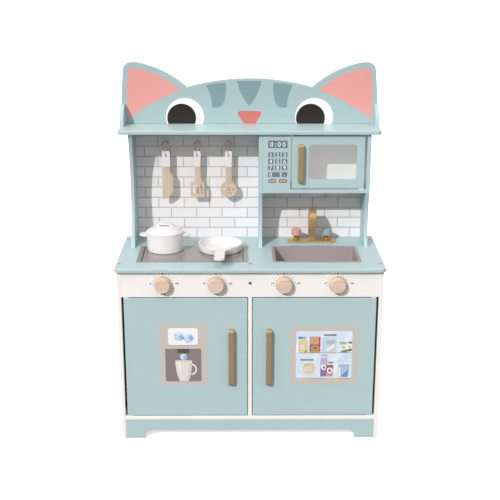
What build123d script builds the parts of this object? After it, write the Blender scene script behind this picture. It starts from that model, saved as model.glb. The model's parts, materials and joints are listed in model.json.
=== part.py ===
from build123d import *
import math
import os

# Wooden toy kitchen with a cat-faced headboard, in millimetres.
# +X is to the right of a child standing at it, the front faces -Y and +Z is up.
# The origin is on the floor, under the middle of the whole object.

# ---- driving dimensions ----
counter_width = 600
counter_depth = 265
counter_height = 416  # top of the worktop
board = 9  # every main board
panel = 5  # thin back panels
knob_overhang = 7  # how far the stove knobs stand out past the worktop edge

base_width = 592
base_setback = 11  # from the worktop edge back to the base front
base_back = 262  # depth of the base sides' rear edge behind the worktop edge
toe_height = 47
fascia_height = 60

hutch_width = 556
hutch_front = 164  # depth of the hutch's front edges behind the worktop edge
back_wall = 254  # depth of the tiled wall's face behind the worktop edge
shelf_height = 694  # top of the top shelf
shelf_front = 155
divider_x = 21  # left face of the hutch divider
microwave_floor = 556  # top of the shelf under the microwave

valley_height = 780  # dip between each ear and the forehead
forehead_height = 800
ear_height = 838
valley_x = 146
ear_peak_x = 262

door_gap = 5  # between a base door's outer edge and the side board
door_clearance = 1.5  # between a base door and the divider
bush_flange = 2
pin_radius = 1.5
pin_running_gap = 0.05
edge_round = 1.2  # every board's edge
peg_height = 650
peg_spacing = 73.7
peg_middle_x = -123
hang_gap = 25  # from the tiled wall to the middle of a hanging utensil
burner_y = 112  # depth of the burner rings' centres behind the worktop edge
sink_x = 151
sink_y = 111
faucet_x = 148.5
faucet_y = 214
knob_radius = 20  # at the back of a stove knob
knob_taper = 12  # degrees, narrowing towards the front
knob_height = 378
knob_positions = (-194, -75.5, 75.5, 194)

# ---- worked out from them ----
front_y = -(counter_depth + knob_overhang) / 2 + knob_overhang  # y of the worktop's front edge
counter_base = counter_height - board
base_front = front_y + base_setback
base_rear = front_y + base_back
side_x = base_width / 2 - board  # inner face of a base side
fascia_base = counter_base - fascia_height
floor_top = toe_height + board
hutch_y = front_y + hutch_front
wall_y = front_y + back_wall
hutch_side_x = hutch_width / 2 - board
shelf_base = shelf_height - board
divider_right = divider_x + board
sub_parts = {}


def box_between(x, y, z, rounding=0.0, edges_along=None):
    """Add a board between the given low and high x, y and z, and round its edges."""
    with Locations((x[0], y[0], z[0])):
        Box(x[1] - x[0], y[1] - y[0], z[1] - z[0], align=(Align.MIN, Align.MIN, Align.MIN))
    if rounding > 0:
        chosen = edges() if edges_along is None else edges().filter_by(edges_along)
        fillet(chosen, rounding)


def drill(centre, radius, depth, towards):
    """Drill a flat-bottomed hole from centre, in the direction towards."""
    with BuildSketch(Plane(origin=centre, z_dir=towards)) as section:
        Circle(radius)
    extrude(section.sketch, amount=depth, mode=Mode.SUBTRACT)


def peg(centre, radius, length, towards):
    """Add a round bar that starts at centre and runs in the direction towards."""
    with BuildSketch(Plane(origin=centre, z_dir=towards)) as section:
        Circle(radius)
    extrude(section.sketch, amount=length)


up = (0, 0, 1)
down = (0, 0, -1)
back = (0, 1, 0)
forward = (0, -1, 0)

# ---- base cabinet ----
side_screw_x = base_width / 2 - board / 2
screw_depths = (42, 233.5)  # behind the worktop edge
screw_shank = 1.4
screw_length = 24
screw_head = 3.6

with BuildPart() as base_side_left:
    box_between((-base_width / 2, -side_x), (base_front, base_rear), (0, counter_base), edge_round)
    for depth in screw_depths:
        drill((-side_screw_x, front_y + depth, counter_base), screw_shank, screw_length - board, down)
sub_parts["base_side_left"] = base_side_left

with BuildPart() as base_side_right:
    mirror(base_side_left.part, about=Plane.YZ)
sub_parts["base_side_right"] = base_side_right

base_panel_y = base_rear - panel
with BuildPart() as base_divider:
    box_between((-board / 2, board / 2), (base_front, base_panel_y), (floor_top, counter_base), edge_round)
    with Locations((0, base_front + board / 2, counter_base - fascia_height / 2)):
        Box(board, board, fascia_height, mode=Mode.SUBTRACT)
    drill((0, front_y + screw_depths[0], counter_base), screw_shank, screw_length - board, down)
    drill((0, base_front + board, knob_height + 2), screw_shank, screw_length - board, back)
sub_parts["base_divider"] = base_divider

# The doors turn on steel pins in plastic bushes, set in the boards above and below.
pivot_x = side_x - door_gap - 6
pivot_y = base_front + board / 2
bush_radius = 2.5
bush_depth = 6
with BuildPart() as base_floor:
    box_between((-side_x, side_x), (base_front, base_panel_y), (toe_height, floor_top))
    fillet(edges().filter_by(Axis.X), edge_round)
    for x in (-pivot_x, pivot_x):
        drill((x, pivot_y, floor_top), bush_radius, bush_depth, down)
sub_parts["base_floor"] = base_floor

with BuildPart() as base_back_panel:
    box_between((-side_x, side_x), (base_panel_y, base_rear), (toe_height / 2, counter_base))
sub_parts["base_back_panel"] = base_back_panel

foot_width = 44
arch_height = 20
arch_round = 17
with BuildPart() as toe_kick:
    box_between((-side_x, side_x), (base_front, base_front + board), (0, toe_height))
    with BuildSketch(Plane.XZ.offset(-base_front)):
        with Locations((0, arch_height / 2)):
            Rectangle(2 * (side_x - foot_width), arch_height)
        fillet(vertices().group_by(Axis.Y)[-1], arch_round)
    extrude(amount=-board, mode=Mode.SUBTRACT)
sub_parts["toe_kick"] = toe_kick

spindle_radius = 3
with BuildPart() as control_fascia:
    box_between((-side_x, side_x), (base_front, base_front + board), (fascia_base, counter_base))
    fillet(edges().filter_by(Axis.X), edge_round)
    for x in knob_positions:
        drill((x, base_front, knob_height), spindle_radius, board, back)
    for x in (-pivot_x, pivot_x):
        drill((x, pivot_y, fascia_base), bush_radius, bush_depth, up)
    drill((0, base_front, knob_height + 2), screw_shank, board, back)
    drill((0, base_front, knob_height + 2), screw_head, 2, back)
sub_parts["control_fascia"] = control_fascia

# ---- worktop, with its sink, hob and screws ----
sink_length = 200
sink_width = 126
rim_lip = 5
rim_height = 1.5
sink_depth = 34
sink_wall = 2
bowl_length = sink_length - 2 * rim_lip
bowl_width = sink_width - 2 * rim_lip
bowl_taper = 4
counter_screws = [(-side_screw_x, depth) for depth in screw_depths]
counter_screws += [(side_screw_x, depth) for depth in screw_depths]
counter_screws += [(0, screw_depths[0])]

counter_corner = 12
shelf_corner = 10
rear_corner = 3
top_edge_round = 1.8  # along the worktop's and the top shelf's faces
counter_x = (-counter_width / 2, counter_width / 2)
with BuildPart() as countertop:
    box_between(counter_x, (front_y, front_y + counter_depth), (counter_base, counter_height))
    fillet(edges().filter_by(Axis.Z).group_by(Axis.Y)[0], counter_corner)
    fillet(edges().filter_by(Axis.Z).group_by(Axis.Y)[-1], rear_corner)
    fillet(edges().group_by(Axis.Z)[-1] + edges().group_by(Axis.Z)[0], top_edge_round)
    with BuildSketch(Plane.XY.offset(counter_base)):
        with Locations((sink_x, front_y + sink_y)):
            RectangleRounded(bowl_length + 1, bowl_width + 1, 8)
    extrude(amount=board, mode=Mode.SUBTRACT)
    for x, depth in counter_screws:
        drill((x, front_y + depth, counter_height), screw_shank, board, down)
        drill((x, front_y + depth, counter_height), screw_head, 2, down)
sub_parts["countertop"] = countertop

hob_x = -130
hob_length = 252
hob_width = 124
hob_thickness = 1
with BuildPart() as hob_plate:
    with BuildSketch(Plane.XY.offset(counter_height)):
        with Locations((hob_x, front_y + burner_y)):
            RectangleRounded(hob_length, hob_width, 6)
    extrude(amount=hob_thickness)
    fillet(edges().group_by(Axis.Z)[-1], 0.4)
sub_parts["hob_plate"] = hob_plate

with BuildPart() as sink_basin:
    with BuildSketch(Plane.XY.offset(counter_height)):
        with Locations((sink_x, front_y + sink_y)):
            RectangleRounded(sink_length, sink_width, 9)
    extrude(amount=rim_height)
    fillet(edges().group_by(Axis.Z)[-1], 1)
    with BuildSketch(Plane.XY.offset(counter_height)):
        with Locations((sink_x, front_y + sink_y)):
            RectangleRounded(bowl_length, bowl_width, 7.5)
    extrude(amount=-sink_depth - sink_wall, taper=bowl_taper)
    with BuildSketch(Plane.XY.offset(counter_height + rim_height)):
        with Locations((sink_x, front_y + sink_y)):
            RectangleRounded(bowl_length - 2 * sink_wall, bowl_width - 2 * sink_wall, 6)
    extrude(amount=-sink_depth - rim_height, taper=bowl_taper, mode=Mode.SUBTRACT)
sub_parts["sink_basin"] = sink_basin

with BuildPart() as assembly_screws:
    for x, depth in counter_screws:
        peg((x, front_y + depth, counter_height), screw_shank, screw_length, down)
        peg((x, front_y + depth, counter_height), screw_head, 2, down)
    peg((0, base_front, knob_height + 2), screw_shank, screw_length, back)
    peg((0, base_front, knob_height + 2), screw_head, 2, back)
sub_parts["assembly_screws"] = assembly_screws

# ---- hutch ----
sweep_left = 28  # how deep the left side's front edge is cut back
sweep_niche = 15  # the same for the two boards beside the sink
niche_top = microwave_floor - board
hutch_rear = wall_y + panel
middle_height = (counter_height + shelf_base) / 2
niche_middle = (counter_height + niche_top) / 2

with BuildPart() as hutch_side_left:
    with BuildSketch(Plane.YZ.offset(-hutch_side_x - board)):
        with BuildLine():
            ThreePointArc(
                (hutch_y, counter_height), (hutch_y + sweep_left, middle_height), (hutch_y, shelf_base)
            )
            Polyline((hutch_y, shelf_base), (hutch_rear, shelf_base), (hutch_rear, counter_height),
                     (hutch_y, counter_height))
        make_face()
    extrude(amount=board)
    fillet(faces().group_by(Axis.X)[0].edges() + faces().group_by(Axis.X)[-1].edges(), edge_round)
sub_parts["hutch_side_left"] = hutch_side_left


def niche_profile(rear):
    """Draw a hutch board: straight beside the microwave and cut back beside the sink."""
    with BuildLine() as outline:
        ThreePointArc((hutch_y, counter_height), (hutch_y + sweep_niche, niche_middle), (hutch_y, niche_top))
        Polyline((hutch_y, niche_top), (hutch_y, shelf_base), (rear, shelf_base), (rear, counter_height),
                 (hutch_y, counter_height))
    make_face(outline.edges())


with BuildPart() as hutch_side_right:
    with BuildSketch(Plane.YZ.offset(hutch_side_x)):
        niche_profile(hutch_rear)
    extrude(amount=board)
    fillet(faces().group_by(Axis.X)[0].edges() + faces().group_by(Axis.X)[-1].edges(), edge_round)
sub_parts["hutch_side_right"] = hutch_side_right

with BuildPart() as hutch_divider:
    with BuildSketch(Plane.YZ.offset(divider_x)):
        niche_profile(wall_y)
    extrude(amount=board)
    fillet(faces().group_by(Axis.X)[0].edges() + faces().group_by(Axis.X)[-1].edges(), edge_round)
sub_parts["hutch_divider"] = hutch_divider

microwave_pivot_x = hutch_side_x - door_gap - 5
microwave_pivot_y = hutch_y + board / 2
with BuildPart() as microwave_shelf:
    box_between((divider_right, hutch_side_x), (hutch_y, wall_y), (niche_top, microwave_floor))
    fillet(edges().filter_by(Axis.X), edge_round)
    drill((microwave_pivot_x, microwave_pivot_y, microwave_floor), bush_radius, bush_depth, down)
sub_parts["microwave_shelf"] = microwave_shelf

microwave_panel_width = 64
with BuildPart() as microwave_panel:
    box_between(
        (divider_right, divider_right + microwave_panel_width), (hutch_y, hutch_y + board),
        (microwave_floor, shelf_base), 0.8,
    )
sub_parts["microwave_panel"] = microwave_panel

peg_shank = 4
peg_head = 9
peg_reach = hang_gap + 14  # from the tiled wall to the front of a peg's head
peg_head_length = 8
peg_positions = [peg_middle_x + step * peg_spacing for step in (-1, 0, 1)]
with BuildPart() as backsplash:
    box_between((-hutch_side_x, hutch_side_x), (wall_y, wall_y + panel), (counter_height, shelf_base))
    for x in peg_positions:
        drill((x, wall_y, peg_height), peg_shank, panel, back)
sub_parts["backsplash"] = backsplash

with BuildPart() as top_shelf:
    box_between(counter_x, (front_y + shelf_front, wall_y + board), (shelf_base, shelf_height))
    fillet(edges().filter_by(Axis.Z).group_by(Axis.Y)[0], shelf_corner)
    fillet(edges().group_by(Axis.Z)[-1] + edges().group_by(Axis.Z)[0], top_edge_round)
    drill((microwave_pivot_x, microwave_pivot_y, shelf_base), bush_radius, bush_depth, up)
sub_parts["top_shelf"] = top_shelf

# Cat headboard: the left half's outline is drawn, then mirrored.
ear_tip_round = 15
ear_side_middle = (-298.5, 765)
ear_side_top = (-293.5, ear_height - ear_tip_round)
ear_slope_middle = (-194, 813.5)
ear_peak = (-ear_peak_x, ear_height - 1)
forehead_middle = (-75, forehead_height - 5)
tip_reach_side = 10  # how far the ear's tip follows its outer side
tip_reach_slope = 18  # and how far it follows its inner slope
with BuildPart() as cat_headboard:
    with BuildSketch(Plane.XZ.offset(-wall_y)):
        with BuildLine():
            Line((0, shelf_height), (-counter_width / 2, shelf_height))
            ear_side = ThreePointArc((-counter_width / 2, shelf_height), ear_side_middle, ear_side_top)
            ear_top = ThreePointArc((-valley_x, valley_height), ear_slope_middle, ear_peak)
            side_pull = ear_side @ 1 + tip_reach_side * (ear_side % 1)
            slope_pull = ear_top @ 1 + tip_reach_slope * (ear_top % 1)
            Bezier(ear_side @ 1, side_pull, slope_pull, ear_top @ 1)
            ThreePointArc((-valley_x, valley_height), forehead_middle, (0, forehead_height))
            Line((0, forehead_height), (0, shelf_height))
        make_face()
        mirror(about=Plane.YZ)
    extrude(amount=-board)
    fillet(faces().group_by(Axis.Y)[0].edges() + faces().group_by(Axis.Y)[-1].edges(), edge_round)
sub_parts["cat_headboard"] = cat_headboard

gusset_radius = 47
with BuildPart() as gusset_left:
    with BuildSketch(Plane.YZ.offset(-counter_width / 2)):
        with BuildLine():
            CenterArc((wall_y, shelf_height), gusset_radius, 90, 90)
            Polyline((wall_y - gusset_radius, shelf_height), (wall_y, shelf_height),
                     (wall_y, shelf_height + gusset_radius))
        make_face()
    extrude(amount=board)
    fillet(edges().filter_by(GeomType.CIRCLE), edge_round)
sub_parts["gusset_left"] = gusset_left

with BuildPart() as gusset_right:
    mirror(gusset_left.part, about=Plane.YZ)
sub_parts["gusset_right"] = gusset_right

with BuildPart() as utensil_pegs:
    head_y = wall_y - peg_reach
    for x in peg_positions:
        peg((x, head_y, peg_height), peg_head, peg_head_length, back)
    fillet(edges().filter_by(GeomType.CIRCLE).group_by(Axis.Y)[0], 3)
    fillet(edges().filter_by(GeomType.CIRCLE).group_by(Axis.Y)[-1], 1.5)
    for x in peg_positions:
        peg((x, head_y + peg_head_length, peg_height), peg_shank, peg_reach - peg_head_length + panel, back)
sub_parts["utensil_pegs"] = utensil_pegs

# ---- doors ----
# Each door is a board with a bow handle, two handle screws, a steel catch plate and two pins.
door_base = floor_top + bush_flange + 0.2
door_top = fascia_base - bush_flange - 0.4
door_inner_x = board / 2 + door_clearance
door_outer_x = side_x - door_gap
base_handle_x = 42.5
base_handle_z = 204.5
base_handle_length = 138
catch_gap = 0.3
catch_plate_radius = 5
catch_plate_thickness = 1
catch_x = 11
catch_z = 300
pin_length = 14
pin_in_door = 10

microwave_door_x = (divider_right + microwave_panel_width + 3, hutch_side_x - door_gap)
microwave_door_base = microwave_floor + bush_flange + 0.2
microwave_door_top = shelf_base - bush_flange - 0.4
microwave_handle_x = 117
microwave_handle_z = 618
microwave_handle_length = 92
window_length = 110
window_height = 81
window_x = 191
window_z = 620
microwave_catch_x = 105
microwave_catch_z = 670

handle_width = 13
handle_thickness = 5
handle_standout = 13
bow_round = 8
inner_round = 4
handle_screw_inset = 6.5
handle_screw_radius = 1.5
handle_screw_head = 3
handle_screw_bite = 5


def door_fittings_cut(pivot, door_z, handle, length, catch, front):
    """Cut a door for its pins, handle screws and catch plate, which sits flush in its back face."""
    drill((pivot[0], pivot[1], door_z[0]), pin_radius, pin_in_door, up)
    drill((pivot[0], pivot[1], door_z[1]), pin_radius, pin_in_door, down)
    for side in (-1, 1):
        height = handle[1] + side * (length / 2 - handle_screw_inset)
        drill((handle[0], front, height), handle_screw_radius, board, back)
    drill((catch[0], front + board, catch[1]), catch_plate_radius, catch_plate_thickness, forward)


def bow_handle(centre, length, front):
    """Add a bar whose two ends bend back to the door, with a finger gap behind it."""
    ends = length / 2
    leg = handle_thickness + inner_round
    gap = handle_standout - handle_thickness
    with BuildSketch(Plane.YZ.offset(centre[0] - handle_width / 2)) as bar:
        with Locations((front - handle_standout / 2, centre[1])):
            Rectangle(handle_standout, length)
        fillet(bar.vertices().group_by(Axis.X)[0], bow_round)
        with Locations((front - gap / 2, centre[1])):
            Rectangle(gap, length - 2 * leg, mode=Mode.SUBTRACT)
        fillet(bar.vertices().filter_by(lambda corner: abs(corner.X - front + gap) < 0.1), inner_round)
    extrude(bar.sketch, amount=handle_width)
    fillet(edges().filter_by(Axis.Z).group_by(Axis.Y)[0], 1.5)
    with BuildSketch(Plane.XZ.offset(-front)) as outline:
        with Locations((centre[0], centre[1])):
            RectangleRounded(handle_width, length, handle_width / 2 - 0.5)
    extrude(outline.sketch, amount=handle_standout, mode=Mode.INTERSECT)
    for side in (-1, 1):
        height = centre[1] + side * (ends - handle_screw_inset)
        drill((centre[0], front, height), handle_screw_radius, handle_screw_bite, forward)


def handle_screw_pair(centre, length, front):
    """Add the two screws that hold a handle, driven from inside the door."""
    for side in (-1, 1):
        height = centre[1] + side * (length / 2 - handle_screw_inset)
        shank_start = (centre[0], front - handle_screw_bite, height)
        peg(shank_start, handle_screw_radius, handle_screw_bite + board, back)
        peg((centre[0], front + board, height), handle_screw_head, 1.5, back)


def pivot_pin_pair(pivot, door_z):
    """Add the two steel pins on which a door turns."""
    peg((pivot[0], pivot[1], door_z[0] + pin_in_door), pin_radius, pin_length, down)
    peg((pivot[0], pivot[1], door_z[1] - pin_in_door), pin_radius, pin_length, up)


base_door_z = (door_base, door_top)
with BuildPart() as left_door:
    box_between((-door_outer_x, -door_inner_x), (base_front, base_front + board), base_door_z, edge_round)
    door_fittings_cut((-pivot_x, pivot_y), base_door_z, (-base_handle_x, base_handle_z), base_handle_length,
                      (-catch_x, catch_z), base_front)
sub_parts["left_door"] = left_door

with BuildPart() as left_door_handle:
    bow_handle((-base_handle_x, base_handle_z), base_handle_length, base_front)
sub_parts["left_door_handle"] = left_door_handle

with BuildPart() as left_handle_screws:
    handle_screw_pair((-base_handle_x, base_handle_z), base_handle_length, base_front)
sub_parts["left_handle_screws"] = left_handle_screws

with BuildPart() as left_catch_plate:
    peg((-catch_x, base_front + board, catch_z), catch_plate_radius, catch_plate_thickness, forward)
sub_parts["left_catch_plate"] = left_catch_plate

with BuildPart() as left_door_pins:
    pivot_pin_pair((-pivot_x, pivot_y), base_door_z)
sub_parts["left_door_pins"] = left_door_pins

with BuildPart() as right_door:
    mirror(left_door.part, about=Plane.YZ)
sub_parts["right_door"] = right_door

with BuildPart() as right_door_handle:
    mirror(left_door_handle.part, about=Plane.YZ)
sub_parts["right_door_handle"] = right_door_handle

with BuildPart() as right_handle_screws:
    mirror(left_handle_screws.part, about=Plane.YZ)
sub_parts["right_handle_screws"] = right_handle_screws

with BuildPart() as right_catch_plate:
    mirror(left_catch_plate.part, about=Plane.YZ)
sub_parts["right_catch_plate"] = right_catch_plate

with BuildPart() as right_door_pins:
    mirror(left_door_pins.part, about=Plane.YZ)
sub_parts["right_door_pins"] = right_door_pins

microwave_door_z = (microwave_door_base, microwave_door_top)
microwave_pivot = (microwave_pivot_x, microwave_pivot_y)
microwave_handle = (microwave_handle_x, microwave_handle_z)
with BuildPart() as microwave_door:
    box_between(microwave_door_x, (hutch_y, hutch_y + board), microwave_door_z)
    with BuildSketch(Plane.XZ.offset(-hutch_y)):
        with Locations((window_x, window_z)):
            RectangleRounded(window_length, window_height, 7)
    extrude(amount=-board, mode=Mode.SUBTRACT)
    fillet(faces().group_by(Axis.Y)[0].edges() + faces().group_by(Axis.Y)[-1].edges(), edge_round)
    door_fittings_cut(microwave_pivot, microwave_door_z, microwave_handle, microwave_handle_length,
                      (microwave_catch_x, microwave_catch_z), hutch_y)
sub_parts["microwave_door"] = microwave_door

with BuildPart() as microwave_door_handle:
    bow_handle(microwave_handle, microwave_handle_length, hutch_y)
sub_parts["microwave_door_handle"] = microwave_door_handle

with BuildPart() as microwave_handle_screws:
    handle_screw_pair(microwave_handle, microwave_handle_length, hutch_y)
sub_parts["microwave_handle_screws"] = microwave_handle_screws

with BuildPart() as microwave_catch_plate:
    catch_back = (microwave_catch_x, hutch_y + board, microwave_catch_z)
    peg(catch_back, catch_plate_radius, catch_plate_thickness, forward)
sub_parts["microwave_catch_plate"] = microwave_catch_plate

with BuildPart() as microwave_door_pins:
    pivot_pin_pair(microwave_pivot, microwave_door_z)
sub_parts["microwave_door_pins"] = microwave_door_pins

# Bushes: a flange in the gap above or below the door, and a stem in the board.
bush_places = []
for x in (-pivot_x, pivot_x):
    bush_places.append(((x, pivot_y, floor_top), up))
    bush_places.append(((x, pivot_y, fascia_base), down))
bush_places.append(((microwave_pivot_x, microwave_pivot_y, microwave_floor), up))
bush_places.append(((microwave_pivot_x, microwave_pivot_y, shelf_base), down))
bush_flange_length = 12
bush_flange_width = 8
with BuildPart() as pivot_bushes:
    for centre, towards in bush_places:
        into_board = down if towards == up else up
        with BuildSketch(Plane(origin=centre, x_dir=(1, 0, 0), z_dir=towards)):
            RectangleRounded(bush_flange_length, bush_flange_width, 3)
        extrude(amount=bush_flange)
        peg(centre, bush_radius, bush_depth, into_board)
        drill((centre[0], centre[1], centre[2] + towards[2] * bush_flange), pin_radius + pin_running_gap,
              bush_flange + bush_depth - 1, into_board)
sub_parts["pivot_bushes"] = pivot_bushes

# Magnetic catches, each just behind its door's catch plate.
catch_height = 24
catch_depth = 14
catch_width = 12
catch_offset = board + catch_gap + catch_depth / 2  # from a door's front to its catch's middle
with BuildPart() as door_magnets:
    for side in (-1, 1):
        with Locations((side * (board + catch_width) / 2, base_front + catch_offset, catch_z)):
            Box(catch_width, catch_depth, catch_height)
    with Locations((microwave_catch_x, hutch_y + catch_offset, shelf_base - catch_height / 2)):
        Box(catch_width, catch_depth, catch_height)
    fillet(edges().filter_by(Axis.Y), 1)
sub_parts["door_magnets"] = door_magnets

# ---- stove knobs ----
knob_length = base_setback + knob_overhang - 0.5
knob_bore_depth = 12
spindle_head_radius = 5.5
spindle_head_length = 2
spindle_reach = knob_bore_depth - 0.5
with BuildPart() as knob_spindles:
    for x in knob_positions:
        peg((x, base_front + board, knob_height), spindle_radius, board + spindle_reach, forward)
        peg((x, base_front + board, knob_height), spindle_head_radius, spindle_head_length, back)
sub_parts["knob_spindles"] = knob_spindles

for number, x in enumerate(knob_positions, start=1):
    with BuildPart() as stove_knob:
        with BuildSketch(Plane(origin=(x, base_front - 0.5, knob_height), z_dir=forward)):
            Circle(knob_radius)
        extrude(amount=knob_length, taper=knob_taper)
        fillet(edges().group_by(Axis.Y)[0], 1.5)
        fillet(edges().group_by(Axis.Y)[-1], 0.8)
        drill((x, base_front - 0.5, knob_height), spindle_radius + pin_running_gap, knob_bore_depth, forward)
    sub_parts[f"stove_knob_{number}"] = stove_knob

# ---- faucet and taps ----
plate_length = 114
plate_width = 28.5
plate_thickness = 4
plate_setback = 3.5  # of the plate's middle behind the taps
spout_width = 16.5
spout_section = 12
spout_bend = 20  # radius of the gooseneck's centre line
spout_top = 504.5
spout_end = 466.5
spigot_radius = 4
tap_spacing = 72.5
stem_radius = 6.8
stem_height = 13.6
tap_knob_radius = 12
tap_knob_height = 14
tap_spigot_radius = 3
plate_top = counter_height + plate_thickness
faucet_line = front_y + faucet_y
column_y = faucet_line + 1.5
bend_z = spout_top - spout_section / 2 - spout_bend
spout_line = column_y - 2 * spout_bend
outlet_radius = 3
outlet_depth = 8
lift = 0.1  # running gap under each part that turns on the plate

with BuildPart() as faucet_plate:
    with BuildSketch(Plane.XY.offset(counter_height)):
        with Locations((faucet_x, faucet_line + plate_setback)):
            RectangleRounded(plate_length, plate_width, 5)
    extrude(amount=plate_thickness)
    fillet(edges().group_by(Axis.Z)[-1], 1)
    drill((faucet_x, column_y, plate_top), spigot_radius + pin_running_gap, plate_thickness, down)
    for side in (-1, 1):
        tap_hole = (faucet_x + side * tap_spacing / 2, faucet_line, plate_top)
        drill(tap_hole, tap_spigot_radius + pin_running_gap, plate_thickness, down)
sub_parts["faucet_plate"] = faucet_plate

with BuildPart() as faucet_spout:
    with BuildLine():
        rise = Line((faucet_x, column_y, plate_top + lift), (faucet_x, column_y, bend_z))
        ThreePointArc(rise @ 1, (faucet_x, column_y - spout_bend, bend_z + spout_bend),
                      (faucet_x, spout_line, bend_z))
        Line((faucet_x, spout_line, bend_z), (faucet_x, spout_line, spout_end))
    with BuildSketch(Plane(origin=rise @ 0, x_dir=(1, 0, 0), z_dir=up)):
        RectangleRounded(spout_width, spout_section, 2)
    sweep()
    drill((faucet_x, spout_line, spout_end), outlet_radius, outlet_depth, up)
    peg((faucet_x, column_y, plate_top + lift), spigot_radius, plate_thickness, down)
sub_parts["faucet_spout"] = faucet_spout

for label, side in (("hot_tap", -1), ("cold_tap", 1)):
    tap_x = faucet_x + side * tap_spacing / 2
    stem_base = plate_top + lift
    with BuildPart() as tap_stem:
        peg((tap_x, faucet_line, stem_base), stem_radius, stem_height, up)
        fillet(edges().group_by(Axis.Z)[0], 0.8)
        peg((tap_x, faucet_line, stem_base), tap_spigot_radius, plate_thickness, down)
    sub_parts[f"{label}_stem"] = tap_stem
    with BuildPart() as tap_knob:
        peg((tap_x, faucet_line, stem_base + stem_height), tap_knob_radius, tap_knob_height, up)
        fillet(edges().group_by(Axis.Z)[-1], 2)
        fillet(edges().group_by(Axis.Z)[0], 1)
    sub_parts[f"{label}_knob"] = tap_knob

# ---- utensils, which hang from the pegs on string loops ----
utensil_thickness = 4
hang_y = wall_y - hang_gap
string_radius = 1
hole_drop = 27.6  # from the peg's axis down to a utensil's hole
hole_radius = 2.5
handle_top = peg_height - 16


def hanging_hole(x):
    """Drill the hole for the string loop near the top of a utensil's handle."""
    drill((x, hang_y - utensil_thickness, peg_height - hole_drop), hole_radius, 2 * utensil_thickness, back)


utensil_plane = Plane.XZ.offset(-hang_y + utensil_thickness / 2)
knife_x, turner_x, skimmer_x = peg_positions
knife_half = 9.5
knife_tip_z = 516.5
knife_blade_x = knife_x + 16.5  # the blade's right edge
knife_blade_z = (541, 570)
handle_half = 8.4  # near a handle's top
turner_neck_half = 6.6
skimmer_neck_half = 7.2
neck_z = handle_top - 50
handle_corner = 3.5
tip_round = 1.5
edge_break = 0.8  # round on a utensil's edges

with BuildPart() as spreader_knife:
    with BuildSketch(utensil_plane) as blank:
        with BuildLine():
            Polyline((knife_x + knife_half, neck_z), (knife_x + knife_half, handle_top),
                     (knife_x - knife_half, handle_top), (knife_x - knife_half, knife_tip_z))
            Bezier((knife_x - knife_half, knife_tip_z), (knife_x + 4, knife_tip_z + 5),
                   (knife_blade_x, knife_tip_z + 12), (knife_blade_x, knife_blade_z[0]))
            Line((knife_blade_x, knife_blade_z[0]), (knife_blade_x, knife_blade_z[1]))
            Bezier((knife_blade_x, knife_blade_z[1]), (knife_blade_x, knife_blade_z[1] + 7),
                   (knife_x + knife_half, neck_z - 5), (knife_x + knife_half, neck_z))
        make_face()
        fillet(blank.vertices().group_by(Axis.Y)[-1], handle_corner)
        fillet(blank.vertices().sort_by(Axis.Y)[0], tip_round)
    extrude(amount=-utensil_thickness)
    fillet(faces().group_by(Axis.Y)[0].edges() + faces().group_by(Axis.Y)[-1].edges(), edge_break)
    hanging_hole(knife_x)
sub_parts["spreader_knife"] = spreader_knife


def tapered_handle(x, bottom, neck_half):
    """Draw a handle with a square, round-cornered top that is a little narrower at its neck."""
    with BuildLine() as outline:
        Polyline((x - handle_half, handle_top), (x - neck_half, neck_z), (x - neck_half, bottom),
                 (x + neck_half, bottom), (x + neck_half, neck_z), (x + handle_half, handle_top),
                 (x - handle_half, handle_top))
    make_face(outline.edges())


blade_width = 33
blade_height = 38
blade_middle = 541.2
slot_spacing = 8.8
slot_length = 22.5
slot_width = 4.4
with BuildPart() as slotted_turner:
    with BuildSketch(utensil_plane) as blank:
        tapered_handle(turner_x, blade_middle, turner_neck_half)
        with Locations((turner_x, blade_middle)):
            RectangleRounded(blade_width, blade_height, 6)
        fillet(blank.vertices().group_by(Axis.Y)[-1], handle_corner)
    extrude(amount=-utensil_thickness)
    fillet(faces().group_by(Axis.Y)[0].edges() + faces().group_by(Axis.Y)[-1].edges(), edge_break)
    with BuildSketch(utensil_plane):
        with Locations((turner_x, blade_middle)):
            with GridLocations(slot_spacing, 1, 3, 1):
                SlotOverall(slot_length, slot_width, rotation=90)
    extrude(amount=-utensil_thickness, mode=Mode.SUBTRACT)
    hanging_hole(turner_x)
sub_parts["slotted_turner"] = slotted_turner

head_radius = 19.5
head_middle = 541.5
drain_hole = 2.5
drain_ring = 10.8
with BuildPart() as skimmer:
    with BuildSketch(utensil_plane) as blank:
        tapered_handle(skimmer_x, head_middle, skimmer_neck_half)
        with Locations((skimmer_x, head_middle)):
            Circle(head_radius)
        fillet(blank.vertices().group_by(Axis.Y)[-1], handle_corner)
    extrude(amount=-utensil_thickness)
    fillet(faces().group_by(Axis.Y)[0].edges() + faces().group_by(Axis.Y)[-1].edges(), edge_break)
    with BuildSketch(utensil_plane):
        with Locations((skimmer_x, head_middle)):
            Circle(drain_hole)
            with PolarLocations(drain_ring, 6):
                Circle(drain_hole)
    extrude(amount=-utensil_thickness, mode=Mode.SUBTRACT)
    hanging_hole(skimmer_x)
sub_parts["skimmer"] = skimmer

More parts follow.
